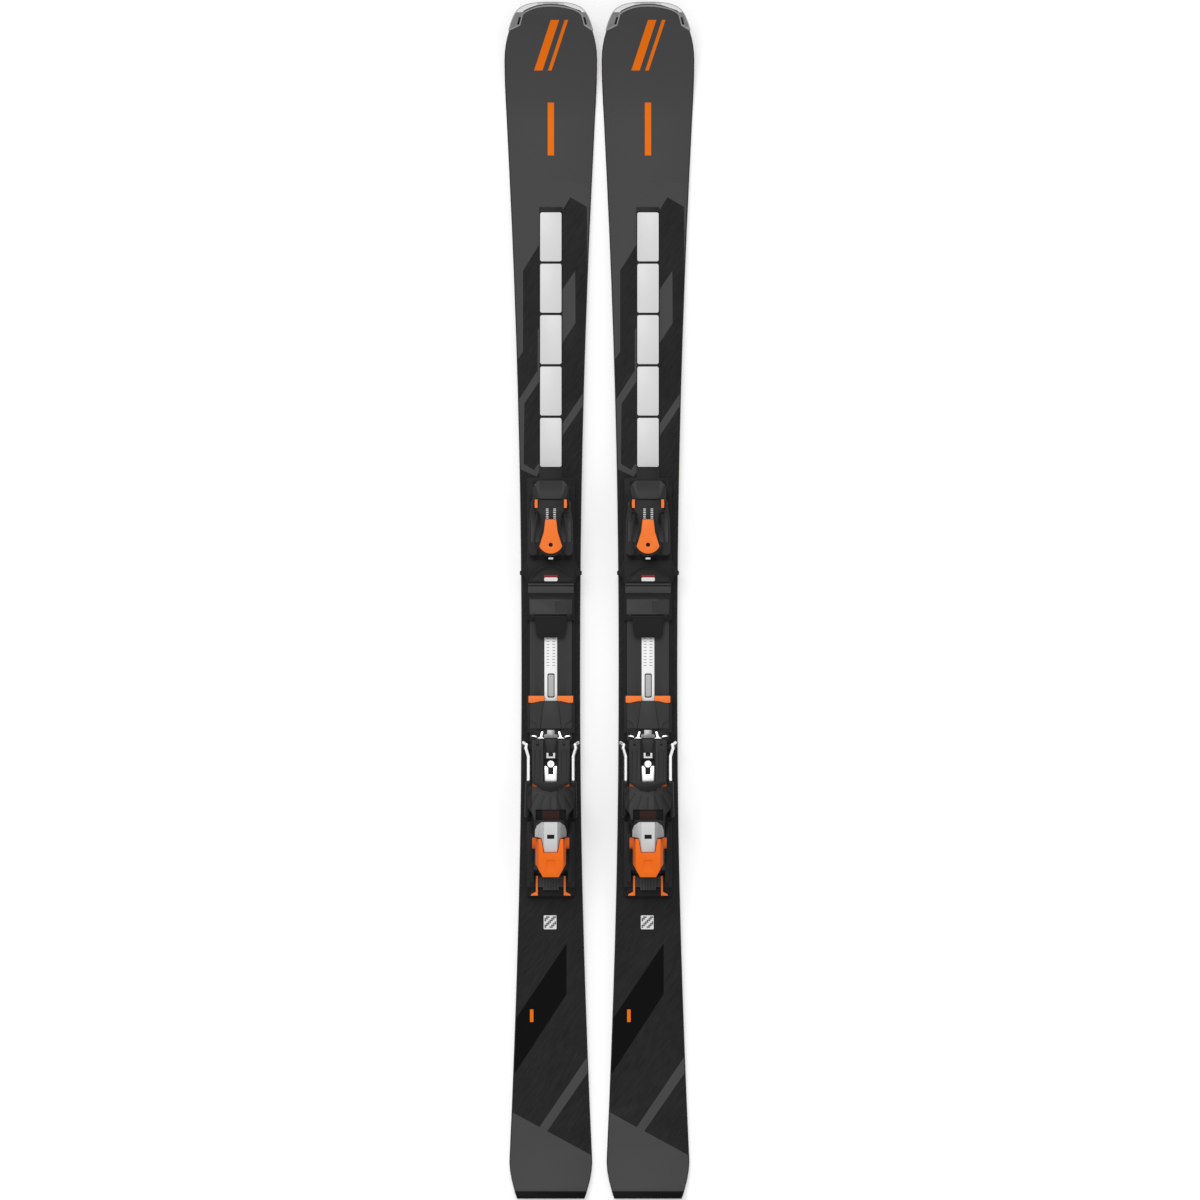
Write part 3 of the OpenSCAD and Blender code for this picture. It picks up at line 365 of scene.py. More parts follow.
# In millimetres, places counted from the ski's middle; PITCH is from one ski's centre line to the other's
PITCH = 139.7
SKI_END = 860.0
TIP_W, WAIST_W, TAIL_W = 133.4, 84.6, 118.2
TIP_ROUND, TAIL_TAPER, TAIL_CUT, TAIL_POWER = 83.0, 53.0, 11.1, 1.8
TIP_SHOULDER, TIP_POWER, TIP_BEND = 0.39, 13, 0.75
# The guard and the sheet under it stand a little proud of the core at the tip's shoulders
PROUD_SHOULDER, PROUD_BEND = 0.32, 0.4
# Places along the ski, and how much further out than the core the photographed sides run there
SIDE_SWELL = [(-860, 0.4), (-807, 0.65), (-646, 0.65), (-575, 0.53), (-503, 0.34), (-431, 0.14), (-330, 0.0),
              (172, 0.05), (259, 0.2), (345, 0.4), (431, 0.7), (517, 0.9), (575, 1.15), (632, 1.35), (690, 1.4),
              (718, 1.45), (747, 1.15), (762, 0.65), (777, 0.0)]
# Only the points of a layer that lie this near its side move out with it
SIDE_BAND = 4
# The photographed ski has its right-hand ear this much further out
EAR_SHIFT = 3.7
WAIST_BACK = 100.0
TIP_Y, TAIL_Y = SKI_END - TIP_ROUND, TAIL_TAPER - SKI_END
SHOVEL_LEN, SHOVEL_RISE, KICK_LEN, KICK_RISE, CAMBER = 170.0, 58.0, 80.0, 8.0, 4.5
SHOVEL_Y, KICK_Y = SKI_END - SHOVEL_LEN, KICK_LEN - SKI_END
CAMBER_MID, CAMBER_HALF = (SHOVEL_Y + KICK_Y) / 2, (SHOVEL_Y - KICK_Y) / 2
# Thickness at the middle and at the ends, how far from the ends it stops falling, and the power of its fall
MID_T, END_T, THIN_BACK, THIN_POWER = 15.0, 6.0, 40, 1.6
SHEET_INSET, SHEET_T, GUARD_LIP = 1.5, 1.2, 0.8
TAIL_GUARD = 10.5
# Places of the toe piece and the heel piece, and height of the deck that they stand on
TOE_Y, HEEL_Y = 65.0, -275.0
DECK_Z = 34.0


def base_height(y):
    """Height of the running base above the floor."""
    if y > SHOVEL_Y:
        return SHOVEL_RISE * ((y - SHOVEL_Y) / SHOVEL_LEN) ** 2
    if y < KICK_Y:
        return KICK_RISE * ((KICK_Y - y) / KICK_LEN) ** 2
    return CAMBER * (1 - ((y - CAMBER_MID) / CAMBER_HALF) ** 2)


def top_height(y):
    """Height of the topsheet above the floor."""
    share = min(1.0, abs(y + WAIST_BACK) / (SKI_END - THIN_BACK))
    return base_height(y) + END_T + (MID_T - END_T) * (1 - share ** THIN_POWER)


def half_width(y):
    """Half of the ski's width between the tip's rounding and the tail's taper."""
    if y > -WAIST_BACK:
        return WAIST_W / 2 + (TIP_W - WAIST_W) / 2 * ((y + WAIST_BACK) / (TIP_Y + WAIST_BACK)) ** 2
    return WAIST_W / 2 + (TAIL_W - WAIST_W) / 2 * ((y + WAIST_BACK) / (TAIL_Y + WAIST_BACK)) ** 2


def swell(y):
    """How much further out than the CAD outline the photographed ski's sides run."""
    for (y0, s0), (y1, s1) in zip(SIDE_SWELL, SIDE_SWELL[1:]):
        if y0 <= y <= y1:
            return s0 + (s1 - s0) * (y - y0) / (y1 - y0)
    return 0.0


def tip_part(t, shoulder=TIP_SHOULDER, bend=TIP_BEND):
    """Share of the tip's width that is left at a share of its rounding."""
    return 1 - shoulder * t * t - (1 - shoulder) * (1 - max(0.0, 1 - t ** TIP_POWER) ** bend)


def tip_x(behind):
    """Half of the tip's width at a distance behind the ski's end."""
    return TIP_W / 2 * tip_part(1 - behind / TIP_ROUND)


def outline_half(inset, tip_steps=48, side_steps=60, tail_steps=8):
    """Right-hand half of the ski's outline from tail to tip."""
    tail = []
    for k in range(tail_steps, -1, -1):
        y = TAIL_Y - (TAIL_TAPER - inset) * k / tail_steps
        tail.append((TAIL_W / 2 + swell(y) - inset - TAIL_CUT * (k / tail_steps) ** TAIL_POWER, y))
    middle = []
    for k in range(1, side_steps):
        y = TAIL_Y + (TIP_Y - TAIL_Y) * k / side_steps
        middle.append((half_width(y) + swell(y) - inset, y))
    tip = []
    for k in range(tip_steps + 1):
        t = math.sin(math.pi / 2 * k / tip_steps)
        tip.append(((TIP_W / 2 - inset) * tip_part(t, PROUD_SHOULDER, PROUD_BEND), TIP_Y + (TIP_ROUND - inset) * t))
    return tail + middle + tip


def mirrored(half):
    """Ring from a right-hand half and its mirror image."""
    return half + [(-x, y) for x, y in reversed(half) if x > 0.001]


# Ends of the ear's inner edge, the guard's rear edge from the middle outwards, and the pocket in each ear
EAR_FRONT = (tip_x(19) - 10.2, SKI_END - 19)
EAR_BACK = (tip_x(34) - 13.6, SKI_END - 34)
GUARD_INNER = [(0, SKI_END - 7), (10, SKI_END - 7.4), (20, SKI_END - 8.9), (29, SKI_END - 12),
               (tip_x(15) - 10.9, SKI_END - 15.4), EAR_FRONT, EAR_BACK, (tip_x(41) - 1.3, SKI_END - 41),
               (TIP_W, SKI_END - 43)]
SLOT_W, SLOT_WALL, SLOT_FLOOR = 3.2, 1.8, 2.6


def ear_edge(share, out):
    """Place at a share of the ear's inner edge, moved outwards."""
    return (EAR_FRONT[0] + share * (EAR_BACK[0] - EAR_FRONT[0]) + out,
            EAR_FRONT[1] + share * (EAR_BACK[1] - EAR_FRONT[1]))


def offset_line(points, d):
    """The same line moved to its left by a distance."""
    moved = []
    for k, p in enumerate(points):
        a, b = points[max(0, k - 1)], points[min(len(points) - 1, k + 1)]
        along = Vector((b[0] - a[0], b[1] - a[1])).normalized()
        moved.append((p[0] - along.y * d if k else 0, p[1] + along.x * d))
    return moved


def guard_zone(d):
    """What lies ahead of the guard's rear edge, moved forward by a distance."""
    ring = mirrored(offset_line(GUARD_INNER, d) + [(TIP_W, SKI_END + 9), (0, SKI_END + 9)])
    return [(x + EAR_SHIFT if x > 28 and SKI_END - 40 < y < SKI_END - 10 else x, y) for x, y in ring]


GUARD_ZONE = guard_zone(0)
GUARD_SLOT = [ear_edge(0.9, SLOT_WALL), ear_edge(0.9, SLOT_WALL + SLOT_W), ear_edge(0.2, SLOT_WALL + SLOT_W),
              ear_edge(0.2, SLOT_WALL)]


def box_shape(x0, y0, x1, y1, cut=0.0):
    """Rectangle, its corners cut off if a size is given."""
    if not cut:
        return [(x0, y0), (x1, y0), (x1, y1), (x0, y1)]
    return [(x0 + cut, y0), (x1 - cut, y0), (x1, y0 + cut), (x1, y1 - cut), (x1 - cut, y1), (x0 + cut, y1),
            (x0, y1 - cut), (x0, y0 + cut)]


# Printed fields of the topsheet, in millimetres from the ski's middle: later ones cover earlier ones
FIELDS = [
    ("print_dark", [(28, 580), (52, 566), (52, 475), (51, 432), (99.5, 432), (99.5, -819.5), (58, -797.5),
                    (-55, -736), (-102, -710.5), (-102, 348), (-46.5, 348), (-40, 358), (-40, 474), (-15, 514.5),
                    (-15, 558.5), (15, 558.5)]),
    ("print_grey", [(35, 474), (16, 446), (16, 369.5), (35.5, 399)]),
    ("print_grey", [(-19, 388.5), (-14, 396.5), (-14, 319), (-38, 283), (-39, 196.5), (-24, 187.5), (-18.5, 196.5),
                    (-12.5, 191.5), (-20.5, 178), (-43, 188.5), (-58.5, 196), (-58.5, 271), (-45.5, 289.5),
                    (-19, 330.5)]),
    ("print_grey", [(56.5, 313), (56.5, 295.5), (16, 235.5), (14.5, 251)]),
    ("print_black", [(22.5, -493), (22.5, -566), (-51, -679), (-73, -679), (-73, -635), (-39.5, -585)]),
    ("print_grey", [(65, -637.5), (65, -661.5), (-6, -764), (-16.5, -757.5)]),
    ("print_orange", [(-24, 762), (0, 834), (12, 834), (-12, 762)]),
    ("print_orange", [(-4, 762), (20, 834), (25, 834), (1, 762)]),
    ("print_orange", [(-4.5, 640), (-4.5, 716), (4.5, 716), (4.5, 640)]),
    ("print_orange", [(-30, -588), (-30, -606), (-25, -606), (-25, -588)]),
]


def inside(point, polygon):
    """True if a point lies in a polygon."""
    x, y = point
    found = False
    for (ax, ay), (bx, by) in zip(polygon, polygon[1:] + polygon[:1]):
        if (ay > y) != (by > y) and x < (bx - ax) * (y - ay) / (by - ay) + ax:
            found = not found
    return found


def cut_line(bm, a, b):
    """Cuts the faces that the line from a to b reaches, along that line."""
    low = (min(a[0], b[0]) - BOX_SLACK, min(a[1], b[1]) - BOX_SLACK)
    high = (max(a[0], b[0]) + BOX_SLACK, max(a[1], b[1]) + BOX_SLACK)
    chosen = []
    for f in bm.faces:
        xs = [v.co.x for v in f.verts]
        ys = [v.co.y for v in f.verts]
        if max(xs) >= low[0] and min(xs) <= high[0] and max(ys) >= low[1] and min(ys) <= high[1]:
            chosen.append(f)
    if not chosen:
        return
    geom = set(chosen)
    for f in chosen:
        geom.update(f.edges)
        geom.update(f.verts)
    d = Vector((b[1] - a[1], a[0] - b[0], 0)).normalized()
    bmesh.ops.bisect_plane(bm, geom=list(geom), dist=FINE_DIST, plane_co=(a[0], a[1], 0), plane_no=d)


def cut_polygon(bm, polygon):
    for a, b in zip(polygon, polygon[1:] + polygon[:1]):
        cut_line(bm, a, b)


def flat_face(bm, polygon):
    """One face that fills a ring and looks up."""
    face = bm.faces.new([bm.verts.new((x, y, 0)) for x, y in polygon])
    if face.normal.z < 0:
        face.normal_flip()


def cut_stations(bm, places):
    """Cuts all faces across the ski at places along it."""
    for y in places:
        cut_plane(bm, 1, y)


# Places at which flat faces are cut so that they can follow the ski's curves
STATIONS = ([-SKI_END + 10 * k for k in range(1, 8)] + [KICK_Y + 30 * k for k in range(0, 49)]
            + [SHOVEL_Y + 5 * k for k in range(0, 34)])


def plate_from(bm, top, bottom, rim):
    """Turns a flat cut-up face into a plate between two heights that follow the ski, with a small rim."""
    upper = bm.faces[:]
    result = bmesh.ops.extrude_face_region(bm, geom=upper, use_keep_orig=True)
    new = set(v for v in result["geom"] if isinstance(v, bmesh.types.BMVert))
    for v in bm.verts:
        v.co.z = top(v.co.y) if v in new else bottom(v.co.y)
    bmesh.ops.recalc_face_normals(bm, faces=bm.faces)
    sharp = [e for e in edges_over(bm, RIM_ANGLE) if all(v in new for v in e.verts)]
    bmesh.ops.bevel(bm, geom=sharp, offset=rim, offset_type="OFFSET", segments=2, profile=0.5, affect="EDGES",
                    clamp_overlap=True)


def ski_x(side):
    """Place of a ski's centre line across the pair."""
    return (-1 if side == "left" else 1) * PITCH / 2


TAIL_EDGE = TAIL_GUARD - SKI_END
# Rounding of the rims of the sheet, the guards and the pockets' floors
SHEET_RIM, GUARD_RIM, POCKET_RIM = 0.5, 0.4, 0.05
# Bands of the tip guard: width of its inner rim, of that rim with its line, and of its outer rim, how far back the
# outer rim goes, and how far ahead of the ears' inner edges their finish starts
INNER_BAND, LINE_BAND, OUTER_BAND, OUTER_BACK, EAR_AHEAD = 2.0, 3.7, 1.1, 60, 3.5
# Half widths of the nose and of the parts beside it, how far back they go, and how far past the end they are cut
NOSE_HALF, NOSE_SIDES_HALF, NOSE_BACK, NOSE_PAST = 11, 19, 12, 2


def make_sheet(side):
    """Printed topsheet, cut along its printed fields."""
    keys = ["print_grey", "print_dark", "print_black", "print_orange"]
    bm = bmesh.new()
    flat_face(bm, mirrored(outline_half(SHEET_INSET)))
    cut_stations(bm, STATIONS + [TAIL_EDGE])
    for polygon in [GUARD_ZONE] + [f[1] for f in FIELDS]:
        cut_polygon(bm, polygon)
    gone = [f for f in bm.faces
            if inside(f.calc_center_median()[:2], GUARD_ZONE) or f.calc_center_median().y < TAIL_EDGE]
    bmesh.ops.delete(bm, geom=gone, context="FACES")
    for f in bm.faces:
        c = f.calc_center_median()[:2]
        covers = [key for key, polygon in FIELDS if inside(c, polygon)]
        f.material_index = keys.index(covers[-1] if covers else "print_grey")
    plate_from(bm, top_height, lambda y: top_height(y) - SHEET_T, SHEET_RIM)
    sheet = to_object(bm, side + "_printed_sheet", keys, ski_x(side))
    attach(sheet, "skis")
    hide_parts("topsheets")


def make_guards(side):
    """Clear crescent round the tip with a pocket in each ear, and black strip at the tail."""
    keys = ["guard_band", "guard_rim", "guard_line", "guard_ear", "guard_black", "shell_64", "guard_inner",
            "guard_mid"]
    slots = [[(x + EAR_SHIFT, y) for x, y in GUARD_SLOT], [(-x, y) for x, y in reversed(GUARD_SLOT)]]
    rim, line = guard_zone(INNER_BAND), guard_zone(LINE_BAND)
    nose, nose_sides = [box_shape(-w, SKI_END - NOSE_BACK, w, SKI_END + NOSE_PAST)
                        for w in (NOSE_HALF, NOSE_SIDES_HALF)]
    inner = mirrored([(0, 0)] + [p for p in outline_half(OUTER_BAND) if p[1] > SKI_END - OUTER_BACK])

    def finish(c):
        if c.y < 0:
            return "guard_black"
        if not inside(c[:2], rim):
            return "guard_inner"
        if not inside(c[:2], inner):
            return "guard_rim"
        if c.y < EAR_FRONT[1] + EAR_AHEAD:
            return "guard_ear"
        if not inside(c[:2], line):
            return "guard_line"
        return "guard_rim" if inside(c[:2], nose) else "guard_mid" if inside(c[:2], nose_sides) else "guard_band"

    bm = bmesh.new()
    flat_face(bm, mirrored(outline_half(0.0)))
    cut_stations(bm, STATIONS + [TAIL_EDGE])
    for polygon in [GUARD_ZONE, rim, line, inner, nose, nose_sides] + slots:
        cut_polygon(bm, polygon)
    gone = []
    for f in bm.faces:
        c = f.calc_center_median()
        if not (inside(c[:2], GUARD_ZONE) or c.y < TAIL_EDGE) or any(inside(c[:2], s) for s in slots):
            gone.append(f)
        else:
            f.material_index = keys.index(finish(c))
    bmesh.ops.delete(bm, geom=gone, context="FACES")
    plate_from(bm, lambda y: top_height(y) + GUARD_LIP, base_height, GUARD_RIM)
    for slot in slots:
        floor_bm = bmesh.new()
        flat_face(floor_bm, slot)
        cut_stations(floor_bm, STATIONS)
        for f in floor_bm.faces:
            f.material_index = keys.index("shell_64")
        plate_from(floor_bm, lambda y: base_height(y) + SLOT_FLOOR, base_height, POCKET_RIM)
        pocket = bpy.data.meshes.new("pocket")
        floor_bm.to_mesh(pocket)
        floor_bm.free()
        bm.from_mesh(pocket)
        bpy.data.meshes.remove(pocket)
    guards = to_object(bm, side + "_tip_and_tail_guards", keys, ski_x(side))
    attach(guards, "skis")
    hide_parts("end_guards")


def swell_sides(name, key):
    """Same layer of the skis as a CAD node, its outer sides moved out to the photographed outline."""
    bm = copy_of(name)
    cut_stations(bm, [y for y, _ in SIDE_SWELL[1:-1]])
    for v in bm.verts:
        x = v.co.x - ski_x("left" if v.co.x < 0 else "right")
        taper = max(0.0, TAIL_Y - v.co.y) / TAIL_TAPER
        half = TAIL_W / 2 - TAIL_CUT * taper ** TAIL_POWER if taper else half_width(v.co.y)
        if abs(x) > half - SIDE_BAND:
            v.co.x += math.copysign(swell(v.co.y), x)
    piece = to_object(bm, name + "_swelled", [key])
    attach(piece, "skis")
    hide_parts(name)


for make in (make_sheet, make_guards):
    for side in SIDES:
        make(side)
swell_sides("running_bases", "base_black")
swell_sides("steel_edges", "edge_steel")
swell_sides("sidewalls", "sidewall")

# ---- Finishes of the other CAD nodes ----

finish_node("wood_cores", "wood")
finish_node("rail_screws", "steel")
soften("damper_plates", "plate", round_off=0.3)
soften("steel_straps", "strap", [("steel", lambda c, n: c.y < HEEL_Y + 38)], round_off=0.15)
# The rails' faces that look up, between these places, get a lighter grey: painted light on their tops
soften("binding_rails", "shell_38", [("shell_64", lambda c, n: n.z > 0.9 and c.z > 30.0 and -200 < c.y < 60)],
       [(1, -200), (1, 60)], 0.25)


def ski_local(side, shift_y):
    """Gives a place in millimetres from the ski's centre line and from a place along it."""
    return lambda c: (abs(c.x - ski_x(side)), c.y - shift_y, c.z, c.x - ski_x(side))


def zone(at, test):
    """Face test from a test on local places: distance from the centre line, place along, height, place across."""
    return lambda c, n: test(*at(c))


def lines(side, *xs):
    """Cuts along the ski at distances either side of its centre line."""
    return [(0, ski_x(side) + s * x) for x in xs for s in (-1, 1)]


# Height above which the wing pins' heads lie, the heads' places from the toe piece's, and their new size
HEAD_Z, HEAD_X, HEAD_Y, HEAD_SCALE = 64, 21, 74, (0.8, 0.86)


def small_heads(side):
    """Draws the wing pins' orange heads in a little."""
    def change(co):
        if co.z < HEAD_Z:
            return co
        x, y = ski_x(side), TOE_Y + HEAD_Y
        middle_x = x + (HEAD_X if co.x > x else -HEAD_X)
        return Vector((middle_x + (co.x - middle_x) * HEAD_SCALE[0], y + (co.y - y) * HEAD_SCALE[1], co.z))
    return change


# Wells beside the toe piece's housing: inner side, outer side, front end, and where each grey of the floor starts;
# the greys grow lighter forwards as painted light in the wells' shade
WELL_IN, WELL_OUT, WELL_END = 13, 28.5, 76
WELL_LIGHT_STEPS = [(0, "shell_58"), (9, "shell_75"), (19, "shell_120")]
WELL_CUTS = [start for start, _ in WELL_LIGHT_STEPS] + [WELL_END]


def well_zone(toe, start):
    """Face test for the wells' floor, from a place forwards."""
    return zone(toe, lambda r, y, z, x: start < y < WELL_END and z < DECK_Z + 0.1 and WELL_IN < r < WELL_OUT)


# The tests' numbers are the CAD model's own, in millimetres from the toe piece's or the heel piece's place
for side in SIDES:
    toe = ski_local(side, TOE_Y)
    heel = ski_local(side, HEEL_Y)
    # Toe base: a thin dark strip low at the front of the lighter cross band is a painted shadow line, the rear part
    # is lighter on the left and darker on the right as painted light from the left, the wells' floor is painted
    # light, and the rounded edges get a lighter grey as painted highlight
    soften(side + "_toe_base", "shell_38", [
        ("shell_70", zone(toe, lambda r, y, z, x: -55.2 < y < -40.7 and z > DECK_Z + 0.2 and r < 33)),
        ("shell_38", zone(toe, lambda r, y, z, x: -44.8 < y < -43.2 and z < DECK_Z + 2.2 and r < 33)),
        ("shell_70", zone(toe, lambda r, y, z, x: -85.8 < y < -62.9 and z > DECK_Z + 0.1 and -31 < x < 6.5)),
        ("shell_58", zone(toe, lambda r, y, z, x: -85.8 < y < -62.9 and z > DECK_Z + 0.1 and 6.5 < x < 31)),
    ] + [(key, well_zone(toe, start)) for start, key in WELL_LIGHT_STEPS],
        lines(side, WELL_IN, WELL_OUT, 33) + [(1, TOE_Y + y) for y in WELL_CUTS], edge="shell_58")
    # Its lower sides beside the wells get a lighter grey: painted light in the wells' shade
    soften(side + "_toe_housing", "shell_45", [
        ("shell_75", zone(toe, lambda r, y, z, x: r > 12 and z < 58 and y < 76))], lines(side, 12))
    soften(side + "_toe_cap", "shell_58", [("shell_70", zone(toe, lambda r, y, z, x: r > 16.5))], lines(side, 16.5))
    # The wedge's rounded rims get a darker orange: painted shade
    soften(side + "_toe_wedge", "orange", round_off=0.6, edge="orange_shade")
    soften(side + "_wing_pins", "orange", change=small_heads(side))
    # The wings' rounded edges get a lighter grey: painted highlight
    soften(side + "_toe_wing_a", "shell_52", edge="shell_64")
    soften(side + "_toe_wing_b", "shell_52", edge="shell_64")
    # Its rounded edges get a lighter grey: painted highlight
    soften(side + "_slider_plate", "shell_38", [("shell_45", zone(toe, lambda r, y, z, x: y < -31 and r > 8))],
           lines(side, 8) + [(1, TOE_Y - 31)], edge="shell_58")
    soften(side + "_lock_lever", "shell_38")
    # The ribs' tops and the rear middle between the latch's prongs, in the lever's shadow, get lighter greys as
    # painted light; the rounded edges get a lighter grey as painted highlight
    soften(side + "_heel_base", "shell_45", [
        ("shell_90", zone(heel, lambda r, y, z, x: -141.5 < y < -122.5 and z > DECK_Z + 4)),
        ("shell_75", zone(heel, lambda r, y, z, x: y < -100 and r < 19)),
        ("shell_58", zone(heel, lambda r, y, z, x: 56 < y < 77 and z > DECK_Z + 1)),
    ], lines(side, 19) + [(1, HEEL_Y - 100)], edge="shell_58")
    soften(side + "_heel_ramp", "shell_64", [
        ("orange", zone(heel, lambda r, y, z, x: y < 16 or y > 131.6 or y > 127.9 and z > 36.9)),
        ("wire", zone(heel, lambda r, y, z, x: 45 < y < 90.6)),
        ("clip", zone(heel, lambda r, y, z, x: 45 < y < 57)),
        ("steel_mottled", zone(heel, lambda r, y, z, x: 77 < y < 90.6 and r < 10.2)),
    ], round_off=0.2)
    # These rounded edges get a lighter grey: painted highlight
    soften(side + "_brake_pedal", "shell_58", edge="shell_70")
    soften(side + "_heel_housing", "shell_45", edge="shell_58")
    # The jaw's right side, away from the light, is darker in two steps and its outer sides darkest: painted shade;
    # its top recess is a dark grey, warmer in the middle: painted shade
    soften(side + "_heel_jaw", "shell_58", [
        ("shell_45", zone(heel, lambda r, y, z, x: x > 8)),
        ("shell_38", zone(heel, lambda r, y, z, x: x > 20 or r > 27)),
        ("recess_shade", zone(heel, lambda r, y, z, x: r < 21.8 and y < -24.9 and z > 85.9)),
        ("recess_warm", zone(heel, lambda r, y, z, x: r < 12 and y < -24.9 and z > 85.9)),
    ], lines(side, 12, 27, 8, 20))
    # The top's curved sides get darker silver, darker still on the right side away from the light: painted shade;
    # its window gets a dark grey: painted shade
    soften(side + "_heel_top", "silver", [
        ("silver_side_shade", zone(heel, lambda r, y, z, x: r > 9.5)),
        ("silver_right_shade", zone(heel, lambda r, y, z, x: x > 9.5)),
        ("recess_shade", zone(heel, lambda r, y, z, x: r < 5.3 and -67.1 < y < -60.9 and z < 99.6)),
    ], lines(side, 9.5), 0.25)
    # The lever's outer sides get a darker orange: painted shade
    soften(side + "_heel_lever", "orange_deep", [("orange_shade", zone(heel, lambda r, y, z, x: r > 17.5))],
           lines(side, 17.5))
    soften(side + "_heel_latch", "orange", [
        ("shell_38", zone(heel, lambda r, y, z, x: y > -123 and not 18.5 < r < 21.5))], round_off=0.2)
    for name in ("toe_spring", "toe_screw", "heel_spring", "heel_screw"):
        finish_node(side + "_" + name, "steel")
    for end in "ab":
        finish_node(side + "_brake_wire_" + end, "wire")
        finish_node(side + "_brake_tip_" + end, "shell_45")

# ---- Small pieces, placed by image points ----

# Heights in metres at which a ray that misses its carrier looks for the nearest place: highest, step down, count
SEARCH_TOP, SEARCH_STEP, SEARCH_STEPS = 0.15, 0.01, 20
# How far a small piece reaches into its carrier, in millimetres
SINK = 0.02


def tree_of(name):
    """BVH of a CAD node or a finished object, in the frame."""
    carrier = nodes[name] if name in nodes else bpy.data.objects[name]
    return BVHTree.FromPolygons([carrier.matrix_world @ v.co for v in carrier.data.vertices],
                                [list(p.vertices) for p in carrier.data.polygons])


def place(point, tree):
    """Where the ray through an image point meets the carrier, or the carrier's place nearest the ray."""
    direction = ray_of(point)
    hit = tree.ray_cast(CAMERA_AT, direction)[0]
    if hit is None:
        near = [tree.find_nearest(CAMERA_AT + direction * (CAMERA_AT.z - SEARCH_TOP + SEARCH_STEP * k))
                for k in range(SEARCH_STEPS)]
        hit = min(near, key=lambda found: found[3])[0]
    return hit


def decal(name, side, point_name, carrier, body, key, shapes, thick):
    """Thin raised pieces that lie on the carrier, drawn in millimetres about an image point's place."""
    tree = tree_of(carrier.format(side))
    centre = place(POINTS[point_name], tree_of(carrier.format("left")))
    if side == "right":
        centre += Vector((PITCH * MM, 0, 0))
    bm = bmesh.new()
    for shape in shapes:
        ring = []
        for u, v in shape:
            top = Vector((centre.x + u * MM, centre.y + v * MM, 1.0))
            hit = tree.ray_cast(top, Vector((0, 0, -1)))[0]
            ring.append((top.x / MM, top.y / MM, (hit.z if hit else centre.z) / MM))
        low = [bm.verts.new((x, y, z - SINK)) for x, y, z in ring]
        high = [bm.verts.new((x, y, z + thick)) for x, y, z in ring]
        bm.faces.new(high)
        bm.faces.new(list(reversed(low)))
        for i in range(len(ring)):
            j = (i + 1) % len(ring)
            bm.faces.new((low[i], low[j], high[j], high[i]))
    bmesh.ops.recalc_face_normals(bm, faces=bm.faces)
    piece = to_object(bm, side + "_" + name, [key])
    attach(piece, body.format(side))
    return piece


FORCE_MARKS = [box_shape(s * 5.3 - 1.8, 6.6 - 2.6 * k, s * 5.3 + 1.8, 7.7 - 2.6 * k) for s in (-1, 1)
               for k in range(6)]
STRAP_MARKS = [box_shape(s * 4.2 - 1.9, 19.6 - 4.3 * k, s * 4.2 + 1.9, 20.7 - 4.3 * k) for s in (-1, 1)
               for k in range(10)]
# Plain pattern of squares that stands for the label's print
CODE_CHECKS = [box_shape(-8.0 + 2.4 * i, -8.0 + 2.4 * j, -5.9 + 2.4 * i, -5.9 + 2.4 * j)
               for i in range(7) for j in range(7) if (i * 3 + j * 5) % 4 < 2]
# Name, image point, carrier, body, finish, shapes and thickness: each lies on the one before where it names it
SMALL_PIECES = [
    ("force_marks", "left_force_marks", "{}_toe_housing", "{}_toe", "mark_white", FORCE_MARKS, 0.12),
    ("strap_marks", "left_strap_marks", "steel_straps", "skis", "mark_pale", STRAP_MARKS, 0.06),
    ("strap_label", "left_strap_label", "steel_straps", "skis", "mark_dark",
     [box_shape(-5.2, -17.5, 5.2, 17.5, 1.6)], 0.05),
    ("strap_panel", "left_strap_label", "{}_strap_label", "skis", "mark_panel",
     [box_shape(-3.8, -15.6, 3.8, 15.6, 1.0)], 0.05),
    ("code_label", "left_code_label", "{}_printed_sheet", "skis", "mark_white",
     [box_shape(-9.2, -10.0, 9.2, 10.0, 0.9)], 0.08),
    ("code_checks", "left_code_label", "{}_code_label", "skis", "mark_dark", CODE_CHECKS, 0.06),
    ("toe_clip", "left_toe_clip", "{}_toe_base", "{}_toe", "wire", [box_shape(-3.5, -1.3, 3.5, 1.3, 0.6)], 0.7),
    ("badge", "left_badge", "{}_slider_plate", "{}_slider_body", "mark_white",
     [box_shape(-9.6, -3.4, 9.6, 2.0, 1.2)], 0.08),
    ("badge_line", "left_badge", "{}_slider_plate", "{}_slider_body", "mark_red",
     [box_shape(-9.8, 2.7, 9.8, 5.4, 0.6)], 0.08),
]
pieces = {}
for side in SIDES:
    for name, point_name, carrier, body, key, shapes, thick in SMALL_PIECES:
        pieces[side + "_" + name] = decal(name, side, point_name, carrier, body, key, shapes, thick)

# ---- Stage and light ----

WHITE = (1, 1, 1, 1)
FLOOR_COLOUR, FLOOR_GLOW = (0.8, 0.8, 0.8, 1), 0.32
# Half width of the floor and its height, in metres
REACH, FLOOR_Z = 12.0, -0.0005
# Strength of the sky as light and as what is seen or mirrored
SKY_LIGHT, SKY_SEEN = 0.6, 1.0
# Energy of the sun, and its width and turn in degrees
SUN_ENERGY, SUN_WIDTH, SUN_TURN = 1.3, 34, (-28, -8, 0)
# Kinds of ray that see the floor's glow and the full sky; all others only get their light
SEEING_RAYS = ("Camera", "Glossy", "Transmission")


